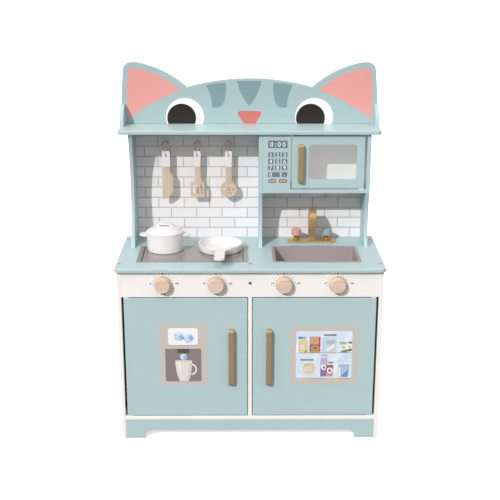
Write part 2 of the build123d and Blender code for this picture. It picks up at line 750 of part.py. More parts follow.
# Each string goes from its knot over the peg, down behind the handle, through the hole and
# back up in front to the knot.
string_side = peg_shank + string_radius + 0.1
knot_radius = 1.9
string_lengths = []
for label, x in zip(("knife_string", "turner_string", "skimmer_string"), peg_positions):
    knot = Vector(x - 5.23, hang_y - 2.8, peg_height - 6)
    half_gap = Vector(0.003, 0.04, 0.247)
    route = [
        knot + half_gap,
        (x - string_side, hang_y - 1, peg_height + string_side),
        (x + string_side, hang_y + 1, peg_height + string_side),
        (x + 5.3, hang_y + 3.8, peg_height - 12),
        (x, hang_y + 3.4, peg_height - 27),
        (x, hang_y - 3.4, peg_height - 27),
        (x - 5.3, hang_y - 3.8, peg_height - 12),
        knot - half_gap,
    ]
    with BuildPart() as string_loop:
        with BuildLine():
            loop = FilletPolyline(*route, radius=[4.5, 4.5, 12, 2.9, 2.9, 12])
        with BuildSketch(Plane(origin=loop @ 0, z_dir=loop % 0)):
            Circle(string_radius)
        sweep()
        with Locations(knot):
            Sphere(knot_radius)
    string_lengths.append(loop.length)
    sub_parts[label] = string_loop
print(f"string loops: {string_lengths[0]:.1f} mm round, tightest bend 2.9 mm in the utensil's hole")

# ---- pot, lid and pan ----
hob_top = counter_height + hob_thickness
pot_x = -196.5
pot_y = front_y + 145
pot_base_radius = 41
pot_radius = 43
pot_height = 43
pot_wall = 3
pot_foot_round = 4
tab_reach = 16
tab_width = 26
tab_thickness = 5
tab_drop = 8  # from the pot's rim down to the tabs' underside
pot_rim_z = hob_top + pot_height
pot_inner_base = hob_top + pot_wall
with BuildPart() as cooking_pot:
    with BuildSketch(Plane(origin=(pot_x, pot_y, 0), x_dir=(1, 0, 0), z_dir=forward)):
        with BuildLine():
            Polyline((0, hob_top), (pot_base_radius, hob_top), (pot_radius, pot_rim_z),
                     (pot_radius - pot_wall, pot_rim_z), (pot_base_radius - pot_wall, pot_inner_base),
                     (0, pot_inner_base), (0, hob_top))
        make_face()
        fillet(vertices().group_by(Axis.Y)[0].sort_by(Axis.X)[-1], pot_foot_round)
    revolve(axis=Axis((pot_x, pot_y, 0), up))
    with BuildSketch(Plane.XY.offset(pot_rim_z - tab_drop)):
        with Locations((pot_x, pot_y)):
            SlotOverall(2 * (pot_radius + tab_reach), tab_width)
            Circle(pot_radius - pot_wall / 2, mode=Mode.SUBTRACT)
    extrude(amount=tab_thickness)
    fillet(edges().group_by(Axis.X)[0] + edges().group_by(Axis.X)[-1], 1.5)
sub_parts["cooking_pot"] = cooking_pot

lid_base = pot_rim_z + 0.2
lid_dome = 15
lid_rim = 3
lid_shell = 3
lid_plug = 3  # how far the lid reaches into the pot
plug_radius = pot_radius - pot_wall - 1
lid_radius = pot_radius + 0.5
bridge_length = 38
bridge_width = 14
bridge_height = 16
bridge_round = 6
bridge_top = lid_base + 22
finger_length = 24
finger_height = 7
with BuildPart() as pot_lid:
    with BuildSketch(Plane(origin=(pot_x, pot_y, 0), x_dir=back, z_dir=(1, 0, 0))):
        with BuildLine():
            Polyline((0, lid_base - lid_plug), (plug_radius, lid_base - lid_plug), (plug_radius, lid_base),
                     (lid_radius, lid_base), (lid_radius, lid_base + lid_rim))
            ThreePointArc((lid_radius, lid_base + lid_rim), (pot_radius * 0.62, lid_base + lid_dome * 0.83),
                          (0, lid_base + lid_dome))
            Line((0, lid_base + lid_dome), (0, lid_base - lid_plug))
        make_face()
    revolve(axis=Axis((pot_x, pot_y, 0), up))
    with BuildSketch(Plane.XY.offset(lid_base - lid_plug)):
        with Locations((pot_x, pot_y)):
            Circle(plug_radius - lid_shell)
    extrude(amount=lid_shell + lid_rim, mode=Mode.SUBTRACT)
    with BuildSketch(Plane.XZ.offset(-pot_y - bridge_width / 2)):
        with Locations((pot_x, bridge_top - bridge_height / 2)):
            Rectangle(bridge_length, bridge_height)
        fillet(vertices().group_by(Axis.Y)[-1], bridge_round)
        with Locations((pot_x, bridge_top - bridge_height / 2 + 0.5)):
            Rectangle(finger_length, finger_height, mode=Mode.SUBTRACT)
    extrude(amount=bridge_width)
sub_parts["pot_lid"] = pot_lid

pan_x = -68
pan_y = front_y + 141
pan_base_radius = 48.5
pan_radius = 51.5
pan_height = 19
pan_wall = 3
pan_foot_round = 7
pan_rim_z = hob_top + pan_height
pan_lean = math.degrees(math.atan2(pan_radius - pan_base_radius, pan_height - pan_wall))
pan_handle_end = front_y - 6
pan_handle_half = 11.5
pan_flare_half = 26
pan_handle_rise = 6.5
pan_handle_thickness = 4
flare_pull = 16
flare_run = 26
handle_bow = 6  # how far the handle's rounded end stands out
handle_run = pan_y - pan_radius + 2 - pan_handle_end
handle_root_z = pan_rim_z - pan_handle_thickness - 0.5
with BuildPart() as frying_pan:
    with BuildSketch(Plane(origin=(pan_x, pan_y, 0), x_dir=(1, 0, 0), z_dir=forward)):
        with BuildLine():
            Polyline((0, hob_top), (pan_base_radius, hob_top), (pan_radius, pan_rim_z),
                     (pan_radius - pan_wall, pan_rim_z), (pan_base_radius - pan_wall, hob_top + pan_wall),
                     (0, hob_top + pan_wall), (0, hob_top))
        make_face()
        fillet(vertices().group_by(Axis.Y)[0].sort_by(Axis.X)[-1], pan_foot_round)
    revolve(axis=Axis((pan_x, pan_y, 0), up))
    with BuildSketch(Plane(origin=(pan_x, pan_handle_end, handle_root_z + pan_handle_rise),
                           x_dir=(1, 0, 0), z_dir=(0, pan_handle_rise, handle_run))):
        with BuildLine():
            Bezier((-pan_flare_half, handle_run), (-flare_pull, handle_run - 7),
                   (-pan_handle_half, handle_run - 14), (-pan_handle_half, handle_run - flare_run))
            Polyline((-pan_handle_half, handle_run - flare_run), (-pan_handle_half, handle_bow))
            ThreePointArc((-pan_handle_half, handle_bow), (0, 0), (pan_handle_half, handle_bow))
            Polyline((pan_handle_half, handle_bow), (pan_handle_half, handle_run - flare_run))
            Bezier((pan_handle_half, handle_run - flare_run), (pan_handle_half, handle_run - 14),
                   (flare_pull, handle_run - 7), (pan_flare_half, handle_run))
            Polyline((pan_flare_half, handle_run), (pan_flare_half - 4, handle_run + 6),
                     (4 - pan_flare_half, handle_run + 6), (-pan_flare_half, handle_run))
        make_face()
    extrude(amount=pan_handle_thickness)
    with BuildSketch(Plane.XY.offset(hob_top + pan_wall)):
        with Locations((pan_x, pan_y)):
            Circle(pan_base_radius - pan_wall)
    extrude(amount=pan_height, taper=-pan_lean, mode=Mode.SUBTRACT)
sub_parts["frying_pan"] = frying_pan

# ---- write every sub-part ----
os.makedirs("parts", exist_ok=True)
for label, sub_part in sub_parts.items():
    sub_part.part.label = label
    export_step(sub_part.part, f"parts/{label}.step")
print(f"{len(sub_parts)} sub-parts written")
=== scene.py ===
"""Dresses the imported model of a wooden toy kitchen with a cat's face, and sets its camera and light.

Meshes are in metres in the model's own frame: +X to the right, +Z up and the front facing -Y.
The sizes of printed and turned details are given in millimetres and become metres as their meshes are made.
"""

import json
import logging
import math
from dataclasses import dataclass, field
from enum import Enum
from typing import Sequence, Union

import bmesh
import bpy
import numpy as np
from mathutils import Euler, Matrix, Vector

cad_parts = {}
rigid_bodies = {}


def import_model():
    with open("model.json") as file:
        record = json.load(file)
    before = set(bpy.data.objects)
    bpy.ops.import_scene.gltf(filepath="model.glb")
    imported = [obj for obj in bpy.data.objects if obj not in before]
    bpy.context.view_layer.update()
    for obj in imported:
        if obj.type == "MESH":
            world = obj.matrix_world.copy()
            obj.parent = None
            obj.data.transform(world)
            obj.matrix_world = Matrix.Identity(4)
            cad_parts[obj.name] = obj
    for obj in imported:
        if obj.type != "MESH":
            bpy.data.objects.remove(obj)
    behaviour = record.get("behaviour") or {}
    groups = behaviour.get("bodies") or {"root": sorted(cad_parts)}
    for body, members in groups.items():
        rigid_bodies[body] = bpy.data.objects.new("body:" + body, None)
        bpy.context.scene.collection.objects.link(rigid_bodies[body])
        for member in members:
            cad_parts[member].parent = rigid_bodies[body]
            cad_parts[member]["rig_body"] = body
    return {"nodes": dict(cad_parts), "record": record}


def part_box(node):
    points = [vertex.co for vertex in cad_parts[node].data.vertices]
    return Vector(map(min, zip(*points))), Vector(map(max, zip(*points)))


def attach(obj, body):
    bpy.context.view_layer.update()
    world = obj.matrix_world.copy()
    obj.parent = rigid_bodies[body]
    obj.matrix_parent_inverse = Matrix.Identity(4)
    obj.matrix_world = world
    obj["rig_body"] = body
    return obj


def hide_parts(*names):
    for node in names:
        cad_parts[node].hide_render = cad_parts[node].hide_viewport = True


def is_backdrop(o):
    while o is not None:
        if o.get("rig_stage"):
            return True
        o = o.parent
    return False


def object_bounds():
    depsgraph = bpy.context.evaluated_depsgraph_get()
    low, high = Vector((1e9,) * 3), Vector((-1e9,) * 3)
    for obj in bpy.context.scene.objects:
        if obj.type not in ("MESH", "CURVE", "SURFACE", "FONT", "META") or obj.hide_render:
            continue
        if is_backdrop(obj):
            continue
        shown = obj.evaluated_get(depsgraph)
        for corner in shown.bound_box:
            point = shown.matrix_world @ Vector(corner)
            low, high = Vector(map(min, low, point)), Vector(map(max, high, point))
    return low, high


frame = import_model()
cad_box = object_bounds()

log = logging.getLogger("toy_kitchen")

MM = 0.001

STRING_GUIDE = (0.35, 1.0, 0.2)  # no part of a string's line runs along this direction

Colour = tuple[float, float, float]
Point = tuple[float, float]
Number = Union["Value", float]


def srgb(red: int, green: int, blue: int) -> Colour:
    """Turn an sRGB colour into linear light.

    Args:
        red, green, blue: the colour's parts, from 0 to 255.

    Returns:
        The linear parts, from 0 to 1.
    """
    part = np.array([red, green, blue]) / 255
    linear = np.where(part <= 0.04045, part / 12.92, ((part + 0.055) / 1.055) ** 2.4)
    return tuple(linear.tolist())


# ---- shader building ----


class Value:
    """A number that varies over a surface; arithmetic on it adds Math nodes to its tree."""

    def __init__(self, nodes: "Nodes", socket: bpy.types.NodeSocket) -> None:
        """Keep the tree and the socket that gives the number."""
        self.nodes = nodes
        self.socket = socket

    def _math(self, operation: str, *operands: Number) -> "Value":
        """Add one Math node with these operands and return its result."""
        made = self.nodes.node("ShaderNodeMath", {"operation": operation}, dict(enumerate(operands)))
        return Value(self.nodes, made.outputs[0])

    def __add__(self, other: Number) -> "Value":
        """Return self + other."""
        return self._math("ADD", self, other)

    def __radd__(self, other: Number) -> "Value":
        """Return other + self."""
        return self._math("ADD", other, self)

    def __sub__(self, other: Number) -> "Value":
        """Return self - other."""
        return self._math("SUBTRACT", self, other)

    def __rsub__(self, other: Number) -> "Value":
        """Return other - self."""
        return self._math("SUBTRACT", other, self)

    def __mul__(self, other: Number) -> "Value":
        """Return self * other."""
        return self._math("MULTIPLY", self, other)

    def __rmul__(self, other: Number) -> "Value":
        """Return other * self."""
        return self._math("MULTIPLY", other, self)

    def __truediv__(self, other: Number) -> "Value":
        """Return self / other."""
        return self._math("DIVIDE", self, other)

    def __gt__(self, other: Number) -> "Value":
        """Return 1 where self is over other, and 0 elsewhere."""
        return self._math("GREATER_THAN", self, other)

    def __lt__(self, other: Number) -> "Value":
        """Return 1 where self is under other, and 0 elsewhere."""
        return self._math("LESS_THAN", self, other)

    def least(self, other: Number) -> "Value":
        """Return the smaller of the two."""
        return self._math("MINIMUM", self, other)

    def most(self, other: Number) -> "Value":
        """Return the larger of the two."""
        return self._math("MAXIMUM", self, other)

    def whole(self) -> "Value":
        """Return the whole number at or below self."""
        return self._math("FLOOR", self)

    def part(self) -> "Value":
        """Return what is above the whole number."""
        return self._math("FRACT", self)

    def rise(self, start: float, stop: float) -> "Value":
        """Go smoothly from 0 at start to 1 at stop, which may be below start."""
        made = self.nodes.node(
            "ShaderNodeMapRange",
            {"interpolation_type": "SMOOTHSTEP"},
            {"Value": self, "From Min": start, "From Max": stop},
        )
        return Value(self.nodes, made.outputs[0])


class Nodes:
    """A node tree that is filled through one method."""

    def __init__(self, tree: bpy.types.NodeTree) -> None:
        """Take over a tree and empty it."""
        self.tree = tree
        self.tree.nodes.clear()

    def node(self, kind: str, settings: dict | None = None, inputs: dict | None = None) -> bpy.types.Node:
        """Add one node.

        Args:
            kind: the node's type.
            settings: its own choices, set before its sockets are looked up.
            inputs: a value, a Value or a socket for each named or numbered input.

        Returns:
            The node.
        """
        made = self.tree.nodes.new(kind)
        for name, setting in (settings or {}).items():
            setattr(made, name, setting)
        for name, given in (inputs or {}).items():
            self.feed(made.inputs[name], given)
        return made

    def feed(self, socket: bpy.types.NodeSocket, given: object) -> None:
        """Link a Value or a socket to an input, or set the input to a plain number, colour or vector."""
        if isinstance(given, Value):
            self.tree.links.new(given.socket, socket)
        elif isinstance(given, bpy.types.NodeSocket):
            self.tree.links.new(given, socket)
        elif socket.type == "RGBA":
            socket.default_value = (*given, 1.0)
        else:
            socket.default_value = given


class Recipe(Nodes):
    """One material and its nodes, around a Principled shader."""

    def __init__(self, name: str) -> None:
        """Start a material of that name with an empty Principled shader."""
        self.material = bpy.data.materials.new(name)
        self.material.use_nodes = True
        super().__init__(self.material.node_tree)
        self.shader = self.node("ShaderNodeBsdfPrincipled")
        self.node("ShaderNodeOutputMaterial", {}, {"Surface": self.shader.outputs[0]})
        self.place = self.node("ShaderNodeTexCoord").outputs["Object"]

    def axes(self) -> tuple[Value, Value, Value]:
        """Return the place on the object as its x, y and z, in metres."""
        parts = self.node("ShaderNodeSeparateXYZ", {}, {0: self.place}).outputs
        return tuple(Value(self, part) for part in parts)

    def noise(self, scale: float, detail: float = 2.0, stretch: Sequence[float] = (1, 1, 1)) -> Value:
        """Return soft noise from 0 to 1, with scale features a metre along each axis, times its stretch."""
        where = self.node("ShaderNodeMapping", {}, {"Vector": self.place, "Scale": stretch})
        inputs = {"Vector": where.outputs[0], "Scale": scale, "Detail": detail}
        return Value(self, self.node("ShaderNodeTexNoise", {}, inputs).outputs[0])

    def blend(self, share: Number, first: object, second: object) -> bpy.types.NodeSocket:
        """Mix two colours: all first where share is 0, and all second where it is 1."""
        made = self.node("ShaderNodeMix", {"data_type": "RGBA"}, {0: share, 6: first, 7: second})
        return made.outputs[2]

    def bump(self, height: Value, depth: float) -> None:
        """Raise the surface by height times depth, in metres."""
        made = self.node("ShaderNodeBump", {}, {"Height": height, "Distance": depth})
        self.feed(self.shader.inputs["Normal"], made.outputs[0])

    def finish(self, colour: object, roughness: Number, **constants: Number) -> bpy.types.Material:
        """Feed the shader.

        Args:
            colour: the base colour, plain or linked.
            roughness: plain or linked.
            constants: other sockets, with an underscore for each space in the socket's name.

        Returns:
            The finished material.
        """
        self.feed(self.shader.inputs["Base Color"], colour)
        self.feed(self.shader.inputs["Roughness"], roughness)
        for name, given in constants.items():
            self.feed(self.shader.inputs[name.replace("_", " ")], given)
        return self.material


def tint(colour: Colour, amount: float) -> Colour:
    """Return the colour made lighter, or darker for an amount under 1."""
    return tuple(min(part * amount, 1.0) for part in colour)


# ---- finishes ----


@dataclass(frozen=True)
class Paint:
    """Satin paint sprayed on fibreboard, a little thin along the board's edges."""

    name: str
    colour: Colour
    rubbed: Colour
    roughness: float = 0.38
    wear_reach: float = 1.6 * MM
    bare_edge: float = 0.3 * MM
    skin_depth: float = 0.022 * MM

    def material(self, node: str) -> bpy.types.Material:
        """Paint one board: clouds of tone, orange-peel skin, dust specks and wear along its edges.

        The distance to an edge of the board's box is the middle one of the distances to its nearest x, y and
        z faces.
        """
        recipe = Recipe(f"{self.name}_on_{node}")
        low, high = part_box(node)
        gaps = [(at - low[i]).least(high[i] - at) for i, at in enumerate(recipe.axes())]
        middle = gaps[0].least(gaps[1]).most(gaps[0].most(gaps[1]).least(gaps[2]))
        clouds = recipe.noise(7, 3)
        skin = recipe.noise(420, 1)
        specks = recipe.noise(1300, 1).rise(0.74, 0.8)
        handled = recipe.noise(19, 4).rise(0.45, 0.75)
        wear = middle.rise(self.wear_reach, self.bare_edge) * recipe.noise(110, 4).rise(0.42, 0.62) * 0.5
        toned = recipe.blend(clouds, tint(self.colour, 0.965), tint(self.colour, 1.03))
        specked = recipe.blend(specks * 0.18, toned, tint(self.colour, 0.8))
        worn = recipe.blend(wear, specked, self.rubbed)
        recipe.bump(skin + clouds * 0.4, self.skin_depth)
        rough = self.roughness + 0.07 * handled + 0.12 * wear + 0.03 * skin
        return recipe.finish(worn, rough, Coat_Weight=0.12, Coat_Roughness=0.2)


@dataclass(frozen=True)
class TilePrint:
    """A white board printed with brick tiles, plain behind, and grey inside the microwave with a faint glow
    that is painted light.
    """

    name: str
    glaze: Colour
    joint: Colour
    plain: Colour
    tile_length: float = 61 * MM
    tile_height: float = 25 * MM
    joint_width: float = 2.2 * MM
    joint_softness: float = 0.3 * MM
    rim_width: float = 2.2 * MM
    relief: float = 0.03 * MM
    first_row: float = 415.6 * MM
    odd_row_shift: float = 25.8 * MM
    even_row_shift: float = 55.8 * MM
    right_bay_shift: float = 4.7 * MM
    bay_edge: float = 25.5 * MM
    microwave_floor: float = 551.5 * MM
    # painted light: inside the microwave the board is grey and glows faintly, lifting the cavity's shade as
    # fill light would
    cavity_grey: Colour = srgb(198, 196, 194)
    cavity_painted_light: Colour = (1.0, 0.95, 0.91)
    cavity_painted_glow: float = 0.31

    def material(self, node: str) -> bpy.types.Material:
        """Print the tiles: rows of tile_height, every second row moved by half a tile, and soft joints.

        A place's distance to a joint is the smaller of its distances to the row's line and to the upright
        joint, each worked out from the part of a tile left over after dividing.
        """
        recipe = Recipe(f"{self.name}_on_{node}")
        across, depth, up = recipe.axes()
        right_bay = across > self.bay_edge
        row = (up - self.first_row) / self.tile_height
        odd = (row.whole() * 0.5).part() > 0.25
        shift = self.even_row_shift + odd * (self.odd_row_shift - self.even_row_shift)
        start = shift + right_bay * self.right_bay_shift
        column = (across - start) / self.tile_length + 10
        to_line = row.part().least(1 - row.part()) * self.tile_height
        to_upright = column.part().least(1 - column.part()) * self.tile_length
        gap = to_line.least(to_upright)
        half = self.joint_width / 2
        tile = gap.rise(half - self.joint_softness, half + self.joint_softness)
        own_tone = recipe.node(
            "ShaderNodeTexWhiteNoise",
            {"noise_dimensions": "2D"},
            {"Vector": self._cell(recipe, column.whole(), row.whole())},
        )
        tone = Value(recipe, own_tone.outputs[0])
        glazed = recipe.blend(tone, tint(self.glaze, 0.955), tint(self.glaze, 1.02))
        rim = gap.rise(half + self.rim_width, half)
        shaded = recipe.blend(rim * 0.16, glazed, tint(self.glaze, 0.8))
        grit = recipe.blend(recipe.noise(900, 3), tint(self.joint, 0.9), tint(self.joint, 1.08))
        printed = recipe.blend(tile, grit, shaded)
        printed_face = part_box(node)[0].y + 1 * MM
        microwave = right_bay * (up > self.microwave_floor)
        bare = microwave.most(depth > printed_face)
        paper = recipe.blend(recipe.noise(60, 3), tint(self.plain, 0.97), self.plain)
        recipe.bump((1 - bare) * tile + 0.25 * recipe.noise(500, 2), self.relief)
        rough = 0.46 - 0.16 * tile * (1 - bare) + 0.06 * recipe.noise(35, 3)
        # painted light: the microwave's cavity takes the grey base and a faint glow
        cavity = microwave * (depth < printed_face)
        return recipe.finish(
            recipe.blend(cavity, recipe.blend(bare, printed, paper), self.cavity_grey),
            rough,
            Emission_Color=recipe.blend(cavity, (0.0, 0.0, 0.0), self.cavity_painted_light),
            Emission_Strength=self.cavity_painted_glow,
        )

    def _cell(self, recipe: Recipe, column: Value, row: Value) -> bpy.types.NodeSocket:
        """Return a tile's column and row as one vector."""
        return recipe.node("ShaderNodeCombineXYZ", {}, {0: column, 1: row}).outputs[0]


class Grain(Enum):
    """Which way a wooden piece's fibres run, as how much noise is stretched along x, y and z."""

    ALONG_X = (0.06, 1.0, 1.0)
    ALONG_Y = (1.0, 0.06, 1.0)
    ALONG_Z = (1.0, 1.0, 0.06)


@dataclass(frozen=True)
class Beech:
    """Sanded beech under thin lacquer, and the white dip on some handles."""

    name: str
    pale: Colour
    dark: Colour
    grain: Grain
    roughness: float = 0.5
    dip: Colour | None = None
    dip_line: float = 0.0
    dip_softness: float = 0.25 * MM
    dip_waviness: float = 0.9 * MM
    grain_depth: float = 0.06 * MM

    def material(self, node: str) -> bpy.types.Material:
        """Lay soft streaks and short dark ray flecks along the grain, then the dip above its line."""
        recipe = Recipe(f"{self.name}_on_{node}")
        streaks = recipe.noise(210, 4, self.grain.value)
        bands = recipe.noise(60, 3, self.grain.value)
        flecks = recipe.noise(1500, 2, self.grain.value).rise(0.62, 0.72)
        base = recipe.blend((0.6 * streaks + 0.4 * bands).rise(0.3, 0.7), self.pale, self.dark)
        wood = recipe.blend(flecks * 0.35, base, tint(self.dark, 0.6))
        height = streaks - 0.8 * flecks
        rough = self.roughness + 0.12 * flecks + 0.08 * (streaks - 0.5)
        if self.dip is None:
            recipe.bump(height, self.grain_depth)
            return recipe.finish(wood, rough)
        up = recipe.axes()[2] + (recipe.noise(300, 2) - 0.5) * self.dip_waviness
        dipped = up.rise(self.dip_line - self.dip_softness, self.dip_line + self.dip_softness)
        coat = recipe.blend(recipe.noise(90, 3), tint(self.dip, 0.96), tint(self.dip, 1.02))
        recipe.bump(height * (1 - 0.7 * dipped) + dipped * 1.6, self.grain_depth)
        return recipe.finish(recipe.blend(dipped, wood, coat), rough - 0.16 * dipped)


@dataclass(frozen=True)
class Metal:
    """A plated or painted metal, brushed along one direction."""

    name: str
    colour: Colour
    roughness: float
    metallic: float
    brushed: Grain
    brush_depth: float = 0.01 * MM

    def material(self, node: str) -> bpy.types.Material:
        """Lay fine brush lines with small changes of tone and gloss, and a few handling marks."""
        recipe = Recipe(f"{self.name}_on_{node}")
        lines = recipe.noise(1600, 3, self.brushed.value)
        clouds = recipe.noise(45, 3)
        marks = recipe.noise(160, 5).rise(0.6, 0.72)
        toned = recipe.blend(0.5 * lines + 0.5 * clouds, tint(self.colour, 0.9), tint(self.colour, 1.1))
        handled = recipe.blend(marks * 0.15, toned, tint(self.colour, 0.75))
        recipe.bump(lines, self.brush_depth)
        rough = self.roughness + 0.1 * (lines - 0.5) + 0.08 * marks
        return recipe.finish(handled, rough, Metallic=self.metallic)


@dataclass(frozen=True)
class Plastic:
    """Moulded plastic with a fine texture."""

    name: str
    colour: Colour
    roughness: float = 0.4
    texture: float = 0.012 * MM
    coat: float = 0.0

    def material(self, node: str) -> bpy.types.Material:
        """Give a fine moulded grain, faint flow clouds and small scuffs."""
        recipe = Recipe(f"{self.name}_on_{node}")
        grain = recipe.noise(1100, 2)
        clouds = recipe.noise(24, 3)
        scuffs = recipe.noise(130, 6, (1, 0.35, 1)).rise(0.62, 0.7)
        toned = recipe.blend(clouds, tint(self.colour, 0.97), tint(self.colour, 1.03))
        scuffed = recipe.blend(scuffs * 0.12, toned, tint(self.colour, 1.12))
        recipe.bump(grain, self.texture)
        rough = self.roughness + 0.08 * (clouds - 0.5) + 0.1 * scuffs
        return recipe.finish(scuffed, rough, Coat_Weight=self.coat, Coat_Roughness=0.15)


@dataclass(frozen=True)
class Ink:
    """Printed ink under the board's lacquer."""

    name: str
    colour: Colour
    roughness: float = 0.36
    skin_depth: float = 0.02 * MM

    def material(self, node: str) -> bpy.types.Material:
        """Give the ink a faint mottle and screen grain, and the same orange-peel skin as the paint."""
        recipe = Recipe(f"{self.name}_ink_on_{node}")
        mottle = recipe.noise(120, 4)
        clouds = recipe.noise(7, 3)
        screen = recipe.noise(2600, 1)
        toned = recipe.blend(0.5 * mottle + 0.5 * clouds, tint(self.colour, 0.95), tint(self.colour, 1.05))
        inked = recipe.blend(screen.rise(0.5, 0.8) * 0.12, toned, tint(self.colour, 1.15))
        skin = recipe.noise(420, 1)
        recipe.bump(skin + 0.3 * mottle, self.skin_depth)
        rough = self.roughness + 0.1 * (mottle - 0.5)
        return recipe.finish(inked, rough, Coat_Weight=0.1, Coat_Roughness=0.2)


@dataclass(frozen=True)
class Cotton:
    """Twisted white cotton string."""

    name: str
    colour: Colour
    fibre_depth: float = 0.12 * MM

    def material(self, node: str) -> bpy.types.Material:
        """Give the yarn fine fibres with painted shade between them, and soft patches of painted shade in its
        hollows.
        """
        recipe = Recipe(f"{self.name}_on_{node}")
        fibres = recipe.noise(4200, 3)
        # painted shade: soft darker patches in the yarn's hollows
        hollow_shade = recipe.noise(260, 3).rise(0.5, 0.8)
        # painted shade: the yarn darkens to 0.62 of its colour between the fibres
        toned = recipe.blend(fibres, tint(self.colour, 0.62), self.colour)
        recipe.bump(fibres, self.fibre_depth)
        return recipe.finish(recipe.blend(hollow_shade * 0.25, toned, tint(self.colour, 0.7)), 0.9, Sheen_Weight=0.3)


BLUE_PAINT = Paint("blue_paint", srgb(180, 204, 205), srgb(206, 220, 221))
# painted shade: the headboard's blue is the board paint made darker, to tone down how brightly it is lit
HEADBOARD_SHADED_PAINT = Paint("headboard_painted_shade", srgb(170, 192, 193), srgb(200, 216, 217))
WHITE_PAINT = Paint("white_paint", srgb(247, 244, 240), srgb(252, 250, 247), 0.42)
BACK_BOARD = Paint("back_board_paint", srgb(226, 221, 212), srgb(206, 188, 160), 0.55)
TILES = TilePrint("tile_print", srgb(240, 237, 238), srgb(190, 183, 178), srgb(236, 234, 231))
KNOB_WOOD = Beech("knob_beech", srgb(231, 208, 189), srgb(213, 186, 163), Grain.ALONG_X)
PEG_WOOD = Beech("peg_beech", srgb(216, 198, 181), srgb(198, 176, 155), Grain.ALONG_Y)
DIPPED_WOOD = Beech(
    "dipped_beech", srgb(213, 193, 174), srgb(199, 175, 152), Grain.ALONG_Z,
    dip=srgb(236, 234, 231), dip_line=596.8 * MM,
)
HANDLE_GOLD = Metal("handle_gold", srgb(185, 157, 123), 0.34, 0.45, Grain.ALONG_Z)
FAUCET_GOLD = Metal("faucet_gold", srgb(196, 163, 118), 0.28, 0.6, Grain.ALONG_Z)
STEM_BRASS = Metal("stem_brass", srgb(214, 162, 86), 0.16, 0.95, Grain.ALONG_X)
STEEL = Metal("zinc_steel", srgb(150, 150, 150), 0.3, 0.9, Grain.ALONG_X)
PINK_LACQUER = Plastic("pink_lacquer", srgb(212, 161, 153), 0.35, coat=0.2)
TAP_BLUE_LACQUER = Plastic("tap_blue_lacquer", srgb(148, 167, 175), 0.35, coat=0.2)
SINK_PLASTIC = Plastic("sink_plastic", srgb(158, 149, 147), 0.42)
HOB_FILM = Plastic("hob_film", srgb(150, 142, 139), 0.3, 0.006 * MM, coat=0.2)
BUSH_PLASTIC = Plastic("bush_plastic", srgb(238, 237, 234), 0.4)
POT_WHITE = Plastic("pot_white", srgb(232, 231, 230), 0.3, 0.008 * MM, coat=0.25)
STRING_COTTON = Cotton("string_cotton", srgb(214, 210, 205))

FINISH_OF_SLOT = {
    "blue_board": BLUE_PAINT,
    "white_board": WHITE_PAINT,
    "tile_board": TILES,
    "back_board": BACK_BOARD,
    "natural_wood": KNOB_WOOD,
    "dipped_wood": DIPPED_WOOD,
    "gold_metal": HANDLE_GOLD,
    "gold_faucet": FAUCET_GOLD,
    "brass_stem": STEM_BRASS,
    "pink_paint": PINK_LACQUER,
    "tap_blue_paint": TAP_BLUE_LACQUER,
    "hob_sheet": HOB_FILM,
    "sink_plastic": SINK_PLASTIC,
    "white_plastic": BUSH_PLASTIC,
    "steel": STEEL,
    "pot_white": POT_WHITE,
    "string": STRING_COTTON,
}

EAR_PINK = Ink("ear_pink", srgb(233, 163, 157))
NOSE_PINK = Ink("nose_pink", srgb(208, 118, 110))
EYE_WHITE = Ink("eye_white", srgb(250, 250, 250))
PUPIL_BLACK = Ink("pupil_black", srgb(32, 26, 22))
STRIPE_BLUE = Ink("stripe_blue", srgb(129, 157, 163))
KEY_SLATE = Ink("key_slate", srgb(112, 126, 136))
PRINT_WHITE = Ink("print_white", srgb(246, 246, 244))
PILL_BROWN = Ink("pill_brown", srgb(140, 101, 74))
DIAL_DARK = Ink("dial_dark", srgb(70, 62, 58))
HOB_DARK = Ink("hob_dark", srgb(74, 64, 60))
HOB_RING = Ink("hob_ring", srgb(142, 133, 130))
PANEL_TAUPE = Ink("panel_taupe", srgb(201, 194, 188))
PANEL_LINE = Ink("panel_line", srgb(186, 177, 168))
NICHE_TAUPE = Ink("niche_taupe", srgb(140, 128, 126))
SPOUT_BROWN = Ink("spout_brown", srgb(92, 79, 70))
ICE_PALE = Ink("ice_pale", srgb(216, 233, 248))
ICE_MID = Ink("ice_mid", srgb(186, 213, 236))
ICE_DEEP = Ink("ice_deep", srgb(150, 187, 220))
MUG_BODY = Ink("mug_body", srgb(227, 223, 218))
MUG_LIGHT = Ink("mug_light", srgb(241, 238, 234))
MUG_SHADE = Ink("mug_shade", srgb(214, 203, 198))


# ---- outlines, all in millimetres and anticlockwise ----


